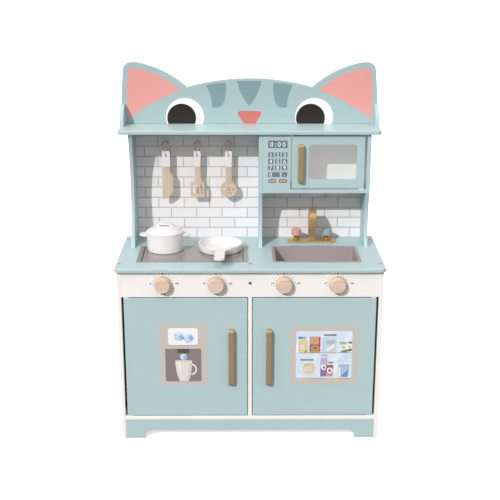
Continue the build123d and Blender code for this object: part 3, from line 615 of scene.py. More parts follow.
def outline(corners: Sequence[Point], bulges: Sequence[float] | float = 0.0,
            rounds: Sequence[float] | float = 0.0, steps: int = 10) -> np.ndarray:
    """Trace a closed outline whose edges bow out and whose corners are rounded.

    An edge is the straight line from one corner to the next plus 4 bulge t (1 - t) along its outward normal,
    with its ends cut back by the rounding.  The quadratic (1 - s)^2 a + 2 s (1 - s) corner + s^2 b joins the
    cut ends a and b round their corner.

    Args:
        corners: the outline's corners, anticlockwise.
        bulges: how far the middle of each edge stands out; edge i goes from corner i to the next.
        rounds: how much of both edges each corner's rounding takes.
        steps: points along each edge and each rounding.

    Returns:
        The outline's points, one row each.
    """
    corner = np.asarray(corners, float)
    following = np.roll(corner, -1, axis=0)
    along = following - corner
    length = np.linalg.norm(along, axis=1)
    outward = np.stack([along[:, 1], -along[:, 0]], axis=1) / length[:, None]
    bulge = np.broadcast_to(np.asarray(bulges, float), length.shape)
    cut = np.broadcast_to(np.asarray(rounds, float), length.shape)
    first = cut / length
    last = 1 - np.roll(cut, -1) / length
    t = first[:, None] + (last - first)[:, None] * np.linspace(0, 1, steps)
    bow = 4 * bulge[:, None] * t * (1 - t)
    edge = corner[:, None] + t[..., None] * along[:, None] + bow[..., None] * outward[:, None]
    s = np.linspace(0, 1, steps)[None, 1:-1, None]
    a = edge[:, -1:]
    b = np.roll(edge[:, :1], -1, axis=0)
    turn = (1 - s) ** 2 * a + 2 * s * (1 - s) * following[:, None] + s**2 * b
    path = np.concatenate([edge, turn], axis=1).reshape(-1, 2)
    return path[np.linalg.norm(path - np.roll(path, 1, axis=0), axis=1) > 1e-3]


def rectangle(left: float, right: float, low: float, high: float, rounding: float = 0.0) -> np.ndarray:
    """Trace a rectangle with rounded corners."""
    return outline([(left, low), (right, low), (right, high), (left, high)], rounds=rounding, steps=6)


def ellipse(middle: Point, across: float, up: float | None = None, start: float = 0.0,
            stop: float = 2 * math.pi, steps: int = 72) -> np.ndarray:
    """Trace middle + (across cos a, up sin a), for a from start to stop, closed by a straight line."""
    whole = abs(stop - start - 2 * math.pi) < 1e-9
    angle = np.linspace(start, stop, steps, endpoint=not whole)
    reach = np.array([across, across if up is None else up])
    return np.array(middle) + reach * np.stack([np.cos(angle), np.sin(angle)], axis=1)


def disc_above(middle: Point, radius: float, floor: float) -> np.ndarray:
    """Trace the part of a disc above a level floor."""
    low = math.asin((floor - middle[1]) / radius)
    return ellipse(middle, radius, start=low, stop=math.pi - low)


def band(middle: Point, inner: Point, outer: Point, start: float, stop: float, steps: int = 48) -> np.ndarray:
    """Trace a curved band between two ellipses, each given by its reach across and up."""
    outside = ellipse(middle, *outer, start, stop, steps)
    inside = ellipse(middle, *inner, start, stop, steps)
    return np.concatenate([outside, inside[::-1]])


def mirrored(path: np.ndarray) -> np.ndarray:
    """Return the outline mirrored left to right, still anticlockwise."""
    return path[::-1] * np.array([-1.0, 1.0])


# ---- meshes ----


class Facing(Enum):
    """The way a flat print looks: towards the front, or up."""

    FRONT = "front"
    UP = "up"


def closed_mesh(name: str, vertices: np.ndarray, faces: list, weld: float = 0.0) -> bpy.types.Mesh:
    """Make a mesh, weld its doubled points if asked, and turn every face outwards.

    Args:
        name: the mesh's name.
        vertices: points in metres, one row each.
        faces: the indices of each face's corners.
        weld: the distance under which points are joined, or 0 for none.

    Returns:
        The mesh.
    """
    mesh = bpy.data.meshes.new(name)
    mesh.from_pydata(vertices.tolist(), [], faces)
    work = bmesh.new()
    work.from_mesh(mesh)
    if weld > 0:
        bmesh.ops.remove_doubles(work, verts=work.verts, dist=weld)
    bmesh.ops.recalc_face_normals(work, faces=work.faces)
    work.to_mesh(mesh)
    work.free()
    return mesh


def read_curve(curve: bpy.types.Curve) -> tuple[np.ndarray, list[list[int]]]:
    """Turn a curve or type into points and faces, and remove it.

    Args:
        curve: the curve, on no object yet.

    Returns:
        Its points, one row each, and the corner indices of its faces.
    """
    holder = bpy.data.objects.new(curve.name, curve)
    bpy.context.scene.collection.objects.link(holder)
    mesh = bpy.data.meshes.new_from_object(holder.evaluated_get(bpy.context.evaluated_depsgraph_get()))
    points = np.empty(len(mesh.vertices) * 3, np.float32)
    starts = np.empty(len(mesh.polygons), np.int32)
    corners = np.empty(len(mesh.loops), np.int32)
    mesh.vertices.foreach_get("co", points)
    mesh.polygons.foreach_get("loop_start", starts)
    mesh.loops.foreach_get("vertex_index", corners)
    bpy.data.objects.remove(holder)
    bpy.data.curves.remove(curve)
    bpy.data.meshes.remove(mesh)
    return points.reshape(-1, 3).astype(float), [part.tolist() for part in np.split(corners, starts[1:])]


def add_piece(name: str, mesh: bpy.types.Mesh, body: str) -> bpy.types.Object:
    """Link a finished mesh as a piece that rides on a body."""
    piece = bpy.data.objects.new(name, mesh)
    bpy.context.scene.collection.objects.link(piece)
    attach(piece, body)
    log.info("%s: %d faces on %s", name, len(mesh.polygons), body)
    return piece


@dataclass
class Print:
    """A picture of flat inked shapes, each a thin closed slab a little prouder than the layer below.

    Attributes:
        name: the piece's name.
        body: the body it rides on.
        slot: the record's slot of the board under it.
        face: where the board's surface is, in metres, along y for a front print and z for one facing up.
        facing: which way it looks.
    """

    name: str
    # slot: the record's slot of the board under it; not used.
    body: str
    slot: str
    face: float
    facing: Facing = Facing.FRONT
    first_layer: float = 0.1
    layer_step: float = 0.06
    bite: float = 0.08
    figure_share: float = 0.7
    ring_steps: int = 96
    inks: list[Ink] = field(default_factory=list)
    vertices: list[np.ndarray] = field(default_factory=list)
    faces: list[list[int]] = field(default_factory=list)
    ink_of_face: list[int] = field(default_factory=list)
    count: int = 0

    def _add(self, vertices: np.ndarray, faces: list[list[int]], ink: Ink) -> None:
        """Keep points, given as across, up and proud in millimetres, and the faces between them."""
        if ink not in self.inks:
            self.inks.append(ink)
        self.vertices.append(vertices)
        self.faces += [(np.asarray(face) + self.count).tolist() for face in faces]
        self.ink_of_face += [self.inks.index(ink)] * len(faces)
        self.count += len(vertices)

    def _proud(self, layer: int) -> float:
        """Return how far a layer stands out of the board."""
        return self.first_layer + self.layer_step * layer

    def shape(self, path: np.ndarray, ink: Ink, layer: int = 0) -> None:
        """Add one filled outline: its front, its back in the board, and a wall between its points."""
        n = len(path)
        front = np.column_stack([path, np.full(n, self._proud(layer))])
        rear = np.column_stack([path, np.full(n, -self.bite)])
        at = np.arange(n)
        after = np.roll(at, -1)
        walls = np.column_stack([after, at, at + n, after + n]).tolist()
        self._add(np.concatenate([front, rear]), [at.tolist(), (at[::-1] + n).tolist(), *walls], ink)

    def ring(self, middle: Point, inner: float, outer: float, ink: Ink, layer: int = 0) -> None:
        """Add a whole ring: a rectangle between the two radii, turned about the middle."""
        angle = np.linspace(0, 2 * math.pi, self.ring_steps, endpoint=False)
        radius = np.array([inner, outer, outer, inner])
        proud = np.array([-self.bite, -self.bite, self._proud(layer), self._proud(layer)])
        across = middle[0] + radius[:, None] * np.cos(angle)
        up = middle[1] + radius[:, None] * np.sin(angle)
        points = np.stack([across, up, np.broadcast_to(proud[:, None], across.shape)], axis=2)
        self._add(points.reshape(-1, 3), grid_faces(4, self.ring_steps, True, True), ink)

    def text(self, words: str, middle: Point, height: float, ink: Ink, layer: int = 0, weight: float = 0.0,
             spacing: float = 1.0) -> None:
        """Add figures as solid type, made a mesh and centred before they take their place.

        Args:
            words: the figures.
            middle: where their centre goes.
            height: the height of a figure.
            ink: their ink.
            layer: the layer they stand on.
            weight: how much each stroke is thickened.
            spacing: the space between figures, from a normal 1.
        """
        curve = bpy.data.curves.new(words, "FONT")
        curve.body = words
        curve.size = height / self.figure_share
        curve.extrude = (self._proud(layer) + self.bite) / 2
        curve.offset = weight
        curve.space_character = spacing
        curve.resolution_u = 6
        points, faces = read_curve(curve)
        centre = (points[:, :2].min(axis=0) + points[:, :2].max(axis=0)) / 2
        points[:, :2] += np.array(middle) - centre
        points[:, 2] += (self._proud(layer) - self.bite) / 2
        self._add(points, faces, ink)

    def build(self) -> bpy.types.Object:
        """Turn the kept shapes into one piece, with a material for each ink."""
        across, up, proud = np.concatenate(self.vertices).T * MM
        if self.facing is Facing.FRONT:
            points = np.column_stack([across, self.face - proud, up])
        else:
            points = np.column_stack([across, up, self.face + proud])
        mesh = closed_mesh(self.name, points, self.faces)
        mesh.polygons.foreach_set("material_index", np.array(self.ink_of_face, np.int32))
        for ink in self.inks:
            mesh.materials.append(ink.material(self.name))
        return add_piece(self.name, mesh, self.body)


def grid_faces(rows: int, columns: int, join_rows: bool, join_columns: bool) -> list[list[int]]:
    """Return the quads of a grid of points, in row order.

    Args:
        rows, columns: the grid's size in points.
        join_rows: whether the last row joins the first.
        join_columns: whether the last column joins the first.

    Returns:
        The four corner indices of each quad.
    """
    row, column = np.meshgrid(
        np.arange(rows if join_rows else rows - 1),
        np.arange(columns if join_columns else columns - 1),
        indexing="ij",
    )
    below = (row + 1) % rows
    beside = (column + 1) % columns
    corners = (row, column), (row, beside), (below, beside), (below, column)
    return np.stack([down * columns + over for down, over in corners], axis=-1).reshape(-1, 4).tolist()


# ---- printed art ----


@dataclass
class CatFace:
    """The cat's ears, eyes, nose and stripes, printed on the headboard, placed from the kitchen's middle."""

    ear: tuple[Point, ...] = ((-280.5, 824.5), (-285.7, 704.5), (-162, 771.6))
    ear_bulges: tuple[float, ...] = (3.4, -6.5, 11.8)
    ear_rounds: tuple[float, ...] = (9.0, 0.0, 1.0)
    eye_x: float = 151.8
    eye_z: float = 710.0
    eye_radius: float = 44.6
    pupil_radius: float = 34.0
    pupil_left: Point = (-159.3, 707.1)
    pupil_right: Point = (143.4, 707.1)
    side_stripe: tuple[Point, ...] = ((-102, 784.3), (-87.6, 732.2), (-66, 730.5), (-55.6, 790.2))
    side_stripe_bulges: tuple[float, ...] = (-4.0, 0.0, 4.5, 0.8)
    side_stripe_rounds: tuple[float, ...] = (1.5, 2.0, 15.0, 1.5)
    middle_stripe: tuple[Point, ...] = ((-29.4, 794.2), (-0.6, 735.5), (28.2, 794.2))
    middle_stripe_bulges: tuple[float, ...] = (4.0, 4.0, 0.0)
    middle_stripe_rounds: tuple[float, ...] = (1.5, 4.0, 1.5)
    nose: tuple[Point, ...] = ((-13.5, 0.0), (13.5, 0.0), (33.0, 30.0), (-33.0, 30.0))
    nose_rounds: tuple[float, ...] = (0.0, 0.0, 15.0, 15.0)

    def build(self) -> None:
        """Print the face on the headboard, down to the shelf."""
        art = Print("cat_face_print", "cabinet", "blue_board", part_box("cat_headboard")[0].y)
        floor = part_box("top_shelf")[1].z / MM + 0.05
        ear = outline(self.ear, self.ear_bulges, self.ear_rounds, 20)
        stripe = outline(self.side_stripe, self.side_stripe_bulges, self.side_stripe_rounds)
        for side in (ear, mirrored(ear)):
            art.shape(side, EAR_PINK)
        for side in (stripe, mirrored(stripe)):
            art.shape(side, STRIPE_BLUE)
        middle = outline(self.middle_stripe, self.middle_stripe_bulges, self.middle_stripe_rounds)
        art.shape(middle, STRIPE_BLUE)
        nose = [(x, floor + z) for x, z in self.nose]
        art.shape(outline(nose, rounds=self.nose_rounds), NOSE_PINK)
        for side, pupil in ((-1, self.pupil_left), (1, self.pupil_right)):
            art.shape(disc_above((side * self.eye_x, self.eye_z), self.eye_radius, floor), EYE_WHITE)
            art.shape(disc_above(pupil, self.pupil_radius, floor), PUPIL_BLACK, 1)
        art.build()


@dataclass
class Keypad:
    """The microwave's printed clock, keys and two buttons."""

    left: float = 42.0
    right: float = 86.2
    clock_low: float = 653.4
    clock_high: float = 670.8
    key_width: float = 12.6
    key_height: float = 11.6
    key_rows: tuple[float, ...] = (638.0, 622.7, 607.5)
    last_row: float = 591.5
    zero_width: float = 27.0
    button_low: float = 572.0
    button_high: float = 580.8
    button_width: float = 18.8
    clock_figure: float = 10.6
    clock_spacing: float = 1.42
    key_figure: float = 9.4
    word_height: float = 3.9

    def build(self) -> None:
        """Print the keypad on the microwave's panel."""
        art = Print("keypad_print", "cabinet", "blue_board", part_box("microwave_panel")[0].y)
        art.shape(rectangle(self.left, self.right, self.clock_low, self.clock_high, 0.6), KEY_SLATE)
        middle = (self.left + self.right) / 2
        level = (self.clock_low + self.clock_high) / 2
        art.text("0:00", (middle, level), self.clock_figure, PRINT_WHITE, 1, 0.15, self.clock_spacing)
        step = (self.right - self.left - self.key_width) / 2
        for number in range(9):
            row, column = divmod(number, 3)
            x = self.left + self.key_width / 2 + column * step
            self._key(art, x, self.key_rows[row], self.key_width, str(number + 1))
        self._key(art, self.left + self.zero_width / 2, self.last_row, self.zero_width, "0")
        self._key(art, self.right - self.key_width / 2, self.last_row, self.key_width, ".")
        low, high = self.button_low, self.button_high
        start = self.left + self.button_width
        stop = self.right - self.button_width
        for left, right in ((self.left, start), (stop, self.right)):
            art.shape(rectangle(left, right, low, high, 3.6), PILL_BROWN)
        level = (low + high) / 2
        art.text("START", ((self.left + start) / 2, level), self.word_height, PRINT_WHITE, 1, 0.06)
        art.text("STOP", ((stop + self.right) / 2, level), self.word_height, PRINT_WHITE, 1, 0.06)
        art.build()

    def _key(self, art: Print, x: float, z: float, width: float, figure: str) -> None:
        """Print one key and the figure on it."""
        half = self.key_height / 2
        art.shape(rectangle(x - width / 2, x + width / 2, z - half, z + half, 0.5), KEY_SLATE)
        if figure == ".":
            art.shape(ellipse((x, z - half + 3.4), 1.1, steps=20), PRINT_WHITE, 1)
        else:
            at = x if width <= self.key_width else x - width / 2 + self.key_width / 2
            art.text(figure, (at, z), self.key_figure, PRINT_WHITE, 1, 0.12)


@dataclass
class StoveDials:
    """The ticks and figures printed round each stove knob."""

    reach: float = 23.4
    dot_radius: float = 1.0
    dot_spacing: float = 16.5
    first_dot: int = -6
    last_dot: int = 8
    dash_step: int = 5
    figure_height: float = 4.0
    lift: float = 1.5

    def build(self) -> None:
        """Print a dial round every knob."""
        art = Print("stove_dial_print", "cabinet", "white_board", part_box("control_fascia")[0].y)
        for number in range(1, 5):
            low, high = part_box(f"stove_knob_{number}")
            self._dial(art, (low.x + high.x) / 2 / MM, (low.z + high.z) / 2 / MM)
        art.build()

    def _at(self, x: float, z: float, turn: float) -> Point:
        """Return the place on a dial at a clockwise turn from the top, in degrees."""
        angle = math.radians(turn)
        return x + self.reach * math.sin(angle), z + self.reach * math.cos(angle)

    def _dial(self, art: Print, x: float, z: float) -> None:
        """Print one dial: a bold mark on top, dots round it, dashes by 0 and 100, and two marks below."""
        for step in range(self.first_dot, self.last_dot + 1):
            across, up = self._at(x, z, step * self.dot_spacing)
            if step == 0:
                art.shape(rectangle(x - 1.3, x + 1.3, up - 1.8, up + 2.2, 0.3), DIAL_DARK)
            elif abs(step) == self.dash_step:
                art.shape(rectangle(across - 1.8, across + 1.8, up - 0.7, up + 0.7, 0.3), DIAL_DARK)
            else:
                art.shape(ellipse((across, up), self.dot_radius, steps=16), DIAL_DARK)
        foot = z - self.reach
        art.shape(rectangle(x - 4.2, x - 1.2, foot - 1.2, foot + 0.8, 0.4), DIAL_DARK)
        art.shape(rectangle(x + 1.2, x + 4.6, foot - 1.6, foot + 1.2, 0.4), DIAL_DARK)
        art.text("0", (x - self.reach - 4.0, z + self.lift), self.figure_height, DIAL_DARK, 0, 0.22)
        art.text("100", (x + self.reach + 8.6, z + self.lift), self.figure_height, DIAL_DARK, 0, 0.16)


@dataclass
class HobPrint:
    """The bars, border and burner rings printed on the hob plate, and a dashed dark ring at the foot of the
    pot and the pan that is partly a printed ring and partly painted contact shadow.
    """

    burners: tuple[Point, ...] = ((-194.0, 113.0), (-66.0, 115.0))
    rings: tuple[tuple[float, float], ...] = ((54.2, 55.4), (50.4, 51.0))
    ring_and_shadow_inner: float = 43.4
    ring_and_shadow_outer: float = 45.0
    ring_and_shadow_arcs: int = 6
    ring_and_shadow_gap: float = 0.16
    bar_left: float = -244.5
    bar_right: float = -16.0
    bar_width: float = 3.0
    bar_inset: float = 5.5
    border_width: float = 0.8

    def build(self) -> None:
        """Print the hob; depths are measured back from the worktop's front edge."""
        low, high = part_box("hob_plate")
        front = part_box("countertop")[0].y / MM
        art = Print("hob_print", "cabinet", "hob_sheet", high.z, Facing.UP)
        near = low.y / MM + self.bar_inset
        far = high.y / MM - self.bar_inset
        for x in (self.bar_left, self.bar_right):
            art.shape(rectangle(x - self.bar_width / 2, x + self.bar_width / 2, near, far, 0.5), HOB_DARK)
        for y in (near, far - self.border_width):
            art.shape(rectangle(self.bar_left + 3, self.bar_right - 3, y, y + self.border_width), HOB_DARK)
        for x, depth in self.burners:
            middle = (x, front + depth)
            for inner, outer in self.rings:
                art.ring(middle, inner, outer, HOB_RING)
            # a dashed dark ring at the foot of the pot and the pan: part printed burner ring, part painted
            # contact shadow
            turn = 2 * math.pi / self.ring_and_shadow_arcs
            for arc in range(self.ring_and_shadow_arcs):
                start = arc * turn + self.ring_and_shadow_gap / 2
                inner, outer = (self.ring_and_shadow_inner,) * 2, (self.ring_and_shadow_outer,) * 2
                art.shape(band(middle, inner, outer, start, start + turn - self.ring_and_shadow_gap), HOB_DARK)
        art.build()


def ice_cube(art: Print, middle: Point, size: float, turn: float, layer: int) -> None:
    """Print an ice cube: a six-sided outline, a pale top, a deeper side and a small glint.

    Args:
        art: the print.
        middle: its centre.
        size: half its width.
        turn: how far it is turned, in radians.
        layer: its lowest layer.
    """
    turned = np.array([[math.cos(turn), math.sin(turn)], [-math.sin(turn), math.cos(turn)]])

    def place(corners: Sequence[Point]) -> list:
        """Scale, turn and move some corners given round (0, 0)."""
        return (np.array(middle) + size * np.asarray(corners) @ turned).tolist()

    body = [(-1, -0.72), (0.12, -1), (1, -0.66), (0.94, 0.6), (-0.1, 0.96), (-1, 0.66)]
    top = [(-0.86, 0.56), (0.08, 0.3), (0.82, 0.54), (-0.1, 0.86)]
    side = [(0.1, -0.84), (0.86, -0.56), (0.82, 0.34), (0.1, 0.12)]
    glint = [(-0.74, -0.2), (-0.42, -0.3), (-0.42, 0.14), (-0.74, 0.22)]
    art.shape(outline(place(body), 0.0, size * 0.2, 5), ICE_MID, layer)
    art.shape(outline(place(top), 0.0, size * 0.08, 4), ICE_PALE, layer + 1)
    art.shape(outline(place(side), 0.0, size * 0.08, 4), ICE_DEEP, layer + 1)
    art.shape(outline(place(glint), 0.0, size * 0.06, 4), ICE_PALE, layer + 1)


@dataclass
class DispenserPicture:
    """The drinks dispenser printed on the left door."""

    panel: tuple[float, ...] = (-205.0, -96.0, 134.0, 283.0)
    window: tuple[float, ...] = (-185.0, -118.0, 233.5, 274.0)
    niche: tuple[float, ...] = (-192.0, -110.5, 143.5, 224.0)
    spout: tuple[float, ...] = (-164.5, -138.0, 213.5, 223.5)
    mug_left: float = -169.5
    mug_right: float = -132.0
    mug_low: float = 144.0
    mug_high: float = 196.0

    def build(self) -> None:
        """Print the panel, the ice window, the niche and the mug in it."""
        art = Print("dispenser_print", "left_door", "blue_board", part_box("left_door")[0].y)
        art.shape(rectangle(*self.panel, 7), PANEL_TAUPE)
        left, right, low, high = self.window
        art.shape(rectangle(left + 4, right - 4, high + 1.2, high + 2.6), PANEL_LINE, 1)
        art.shape(rectangle(left + 4, right - 4, low - 2.8, low - 1.2), PANEL_LINE, 1)
        art.shape(rectangle(*self.window, 6), PRINT_WHITE, 1)
        ice_cube(art, (-160, 253.5), 10.8, 0.06, 2)
        ice_cube(art, (-138.5, 249.5), 11, 0.62, 2)
        art.shape(rectangle(*self.niche, 4.5), NICHE_TAUPE, 1)
        art.shape(rectangle(*self.spout, 0.4), SPOUT_BROWN, 2)
        ice_cube(art, (-150.8, 204.2), 7.6, 0.1, 2)
        self._mug(art)
        art.build()

    def _mug(self, art: Print) -> None:
        """Print the mug: a body that curves in to its foot, a lit band, a shaded side, a rim and a handle."""
        left, right, low, high = self.mug_left, self.mug_right, self.mug_low, self.mug_high
        body = outline(
            [(left + 9.5, low), (right - 8, low), (right, high - 1), (left, high - 1)],
            (0.0, 2.6, 1.2, 2.6), (3.5, 3.5, 1.5, 1.5), 14,
        )
        handle = (right - 1.5, 173.5)
        art.shape(band(handle, (9.4, 10.6), (12.6, 14.2), -math.pi / 2, math.pi / 2), MUG_LIGHT, 2)
        art.shape(body, MUG_BODY, 3)
        lit = [
            (left + 8.6, high - 28), (left + 12.2, high - 28),
            (left + 11.6, high - 4.5), (left + 7, high - 4.5),
        ]
        art.shape(outline(lit, (0.0, 0.0, 0.0, 0.5), 0.8), MUG_LIGHT, 4)
        shade = [
            (right - 12.5, low + 2), (right - 8.5, low + 3),
            (right - 1.2, high - 6), (right - 7, high - 6),
        ]
        art.shape(outline(shade, (0.0, 2.4, 0.0, -2.0), 0.8), MUG_SHADE, 4)
        rim = outline(
            [
                (left + 1.5, high - 2.8), (right - 1.5, high - 2.8),
                (right - 1.5, high - 1.6), (left + 1.5, high - 1.6),
            ],
            (0.8, 0.0, 0.6, 0.0), 0.4,
        )
        art.shape(rim, MUG_SHADE, 4)


@dataclass
class FridgePicture:
    """The glass-fronted fridge printed on the right door, with made-up groceries on two shelves."""

    border: tuple[float, ...] = (90.0, 245.0, 135.0, 279.0)
    glass: tuple[float, ...] = (104.0, 231.0, 152.0, 266.0)
    shelf_z: float = 214.0
    glare_lean: float = 0.72

    def build(self) -> None:
        """Print the fridge and what is in it."""
        art = Print("fridge_print", "right_door", "blue_board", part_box("right_door")[0].y)
        art.shape(rectangle(*self.border, 13), PANEL_TAUPE)
        left, right, low, high = self.glass
        art.shape(rectangle(*self.glass, 1.5), Ink("glass_blue", srgb(218, 230, 242)), 1)
        glare = Ink("glass_glare", srgb(230, 236, 249))
        deep = Ink("glass_deep", srgb(206, 223, 239))
        under = self.shelf_z - 2
        streaks = (
            (133, 22, self.shelf_z, high), (196, 24, self.shelf_z, high),
            (152, 34, low, under), (104.6, 12, low, under),
        )
        for start, width, level, top in streaks:
            shift = (top - level) * self.glare_lean
            stripe = [
                (start, level + 0.3), (start + width, level + 0.3),
                (min(start + width + shift, right - 0.4), top - 0.3),
                (min(start + shift, right - 6), top - 0.3),
            ]
            art.shape(outline(stripe), glare, 2)
        corner = [(210, 185.5), (right - 0.5, 206), (right - 0.5, 211), (212, 211), (192, 189)]
        art.shape(outline(corner), deep, 3)
        shade = Ink("shelf_shade", srgb(158, 147, 140))
        art.shape(rectangle(left + 7, right - 1, self.shelf_z - 1.4, self.shelf_z), shade, 3)
        below = Ink("under_shade", srgb(184, 171, 163))
        art.shape(rectangle(138, 168, 148.6, 151.2, 0.6), below, 1)
        art.shape(rectangle(198, 228, 148.6, 151.2, 0.6), below, 1)
        self._top_shelf(art, self.shelf_z)
        self._bottom_shelf(art, low + 3)
        art.build()

    def _top_shelf(self, art: Print, z: float) -> None:
        """Print a capped bottle, a biscuit packet, a tall jar and a milk carton."""
        cream = Ink("bottle_cream", srgb(225, 207, 160))
        art.shape(rectangle(104.6, 110, z, z + 22, 0.5), PRINT_WHITE, 3)
        art.shape(outline([(109, z), (130, z), (130, z + 27), (125, z + 33), (112, z + 33), (109, z + 27)],
                          rounds=1), cream, 4)
        art.shape(rectangle(108, 127, z + 33.8, z + 38.6, 0.8), Ink("cap_blue", srgb(88, 138, 188)), 4)
        art.shape(rectangle(119, 127, z + 34.4, z + 38, 0.6), Ink("cap_light", srgb(150, 186, 216)), 5)
        art.shape(ellipse((118.4, z + 13.5), 4.6, steps=32), PRINT_WHITE, 5)
        art.shape(ellipse((118.4, z + 13.5), 1.3, 2.2, steps=20), KEY_SLATE, 6)
        leaf = [(121, z + 0.6), (129.4, z + 0.6), (129.4, z + 8)]
        art.shape(outline(leaf), Ink("leaf_green", srgb(158, 170, 92)), 5)

        brick = Ink("packet_brick", srgb(163, 96, 82))
        art.shape(rectangle(134.5, 159, z, z + 38.6, 0.5), brick, 3)
        peach = Ink("packet_peach", srgb(208, 152, 134))
        art.shape(rectangle(134.5, 155.5, z + 19.5, z + 38.6, 0.4), peach, 4)
        art.shape(rectangle(134.5, 159, z, z + 3.6, 0.4), Ink("packet_gold", srgb(196, 166, 112)), 4)
        biscuit = Ink("biscuit_gold", srgb(214, 180, 126))
        art.shape(ellipse((146.2, z + 29), 8, 6, steps=40), biscuit, 5)
        art.shape(ellipse((146.2, z + 29), 5.4, 3.8, steps=36), Ink("biscuit_pink", srgb(198, 148, 128)), 6)
        art.shape(ellipse((147, z + 11), 9, 6, steps=40), biscuit, 4)
        art.shape(ellipse((147, z + 11), 6, 3.6, steps=36), Ink("biscuit_plum", srgb(150, 94, 88)), 5)

        glass = Ink("jar_glass", srgb(196, 219, 236))
        art.shape(rectangle(166, 196, z, z + 38, 2.5), glass, 3)
        art.shape(rectangle(163.2, 167, z + 2, z + 36, 0.6), ICE_MID, 4)
        art.shape(rectangle(166.5, 195, z + 40, z + 44.6, 1), Ink("lid_grey", srgb(132, 142, 146)), 4)
        art.shape(rectangle(172, 193, z + 1.5, z + 30, 0.6), Ink("jar_flour", srgb(208, 212, 212)), 4)
        art.shape(outline([(172, z + 20), (193, z + 23), (193, z + 30), (172, z + 30)], (1.5, 0, 0, 0)),
                  Ink("jar_shade", srgb(180, 190, 193)), 5)
        art.shape(outline([(174, z + 3), (190, z + 14), (190, z + 20), (174, z + 9)]), PRINT_WHITE, 5)

        art.shape(rectangle(202.5, 230.4, z, z + 26.5, 0.5), Ink("carton_white", srgb(236, 238, 230)), 3)
        art.shape(rectangle(202.5, 218, z + 19.5, z + 26.5, 0.3), Ink("carton_sage", srgb(170, 186, 152)), 4)
        art.shape(outline([(202.5, z + 0.3), (220.5, z + 0.3), (220.5, z + 8)], (0, 0, 1.6)),
                  Ink("carton_leaf", srgb(104, 150, 98)), 4)
        dark = Ink("carton_dark", srgb(92, 92, 90))
        art.shape(outline([(221, z + 3), (230, z + 5), (230, z + 9), (222, z + 7)], 0.8), dark, 4)
        flap = [(218.3, z + 22), (223, z + 26), (230, z + 26), (230, z + 21), (224, z + 23)]
        art.shape(outline(flap), dark, 4)
        art.shape(ellipse((211, z + 12.5), 5.2, 3.2, steps=32), Ink("carton_mint", srgb(188, 208, 176)), 4)
        art.shape(ellipse((225, z + 13.5), 2.4, 3, steps=24), Ink("carton_tan", srgb(196, 178, 150)), 4)

    def _bottom_shelf(self, art: Print, z: float) -> None:
        """Print a biscuit jar, two juice cartons and a striped cup."""
        art.shape(ellipse((129, z + 20.5), 20.5, 20.3, steps=64), Ink("round_jar", srgb(203, 223, 239)), 3)
        light = Ink("round_jar_light", srgb(222, 234, 244))
        art.shape(ellipse((129, z + 20.5), 16.5, 16.6, steps=64), light, 4)
        art.shape(rectangle(114, 145, z + 39, z + 43.4, 1), Ink("lid_slate", srgb(136, 150, 156)), 4)
        heap = [
            (119, z + 17), (124, z + 7), (136, z + 5.5), (147, z + 14),
            (146, z + 29), (137, z + 35.5), (121, z + 29),
        ]
        art.shape(outline(heap, 0.8, 3, 6), Ink("cookie_tan", srgb(223, 203, 164)), 5)
        art.shape(outline([(121, z + 28), (133, z + 34), (129, z + 30), (123, z + 26)]),
                  Ink("cookie_dark", srgb(188, 164, 122)), 6)
        art.shape(rectangle(121, 139, z + 14, z + 23.5, 0.5), Ink("jar_label", srgb(224, 221, 212)), 6)
        art.shape(rectangle(124, 136, z + 18, z + 19.4, 0.3), PANEL_LINE, 7)

        plum = Ink("juice_plum", srgb(132, 122, 166))
        art.shape(rectangle(160, 175.5, z, z + 46.5, 0.4), plum, 3)
        art.shape(rectangle(160, 175.5, z + 21, z + 46.5, 0.4), Ink("juice_lilac", srgb(190, 179, 206)), 4)
        art.shape(rectangle(161, 176, z + 50, z + 53.6, 0.8), Ink("cap_lilac", srgb(176, 160, 196)), 3)
        art.shape(ellipse((167.4, z + 23), 5.8, 6.8, steps=40), PRINT_WHITE, 5)
        art.shape(ellipse((167.8, z + 22.5), 2.8, 3.4, steps=28), plum, 6)

        red = Ink("juice_red", srgb(168, 88, 82))
        art.shape(rectangle(173.4, 189, z, z + 28.5, 0.4), Ink("juice_rose", srgb(203, 156, 151)), 5)
        art.shape(rectangle(173.4, 189, z + 9, z + 28.5, 0.4), red, 6)
        art.shape(ellipse((181.4, z + 15), 7, 7.2, steps=40), PRINT_WHITE, 7)
        art.shape(ellipse((181.4, z + 15), 3.6, 3.8, steps=32), Ink("berry_red", srgb(190, 92, 84)), 8)
        art.shape(ellipse((183.5, z + 34.5), 6.6, 2.4, steps=32), Ink("sprig_green", srgb(138, 176, 138)), 5)
        art.shape(outline([(177, z + 34), (184, z + 32.5), (190, z + 36), (184, z + 35.2)], 0.4),
                  Ink("sprig_dark", srgb(98, 144, 108)), 6)

        cup = [(202.5, z - 1.5), (223, z - 1.5), (226, z + 29), (200.5, z + 29)]
        art.shape(outline(cup, rounds=1), Ink("cup_blue", srgb(180, 192, 216)), 3)
        wave = [(203.5, z - 0.8), (222.6, z - 0.8), (225.2, z + 18)]
        art.shape(outline(wave), Ink("cup_wave", srgb(92, 158, 208)), 4)
        art.shape(outline([(203.5, z - 1), (206.5, z - 1), (205, z + 22), (202, z + 22)]), PRINT_WHITE, 5)
        art.shape(rectangle(200.5, 226, z + 27.4, z + 29.2, 0.4), Ink("cup_rim", srgb(140, 152, 184)), 5)


# ---- small fittings ----


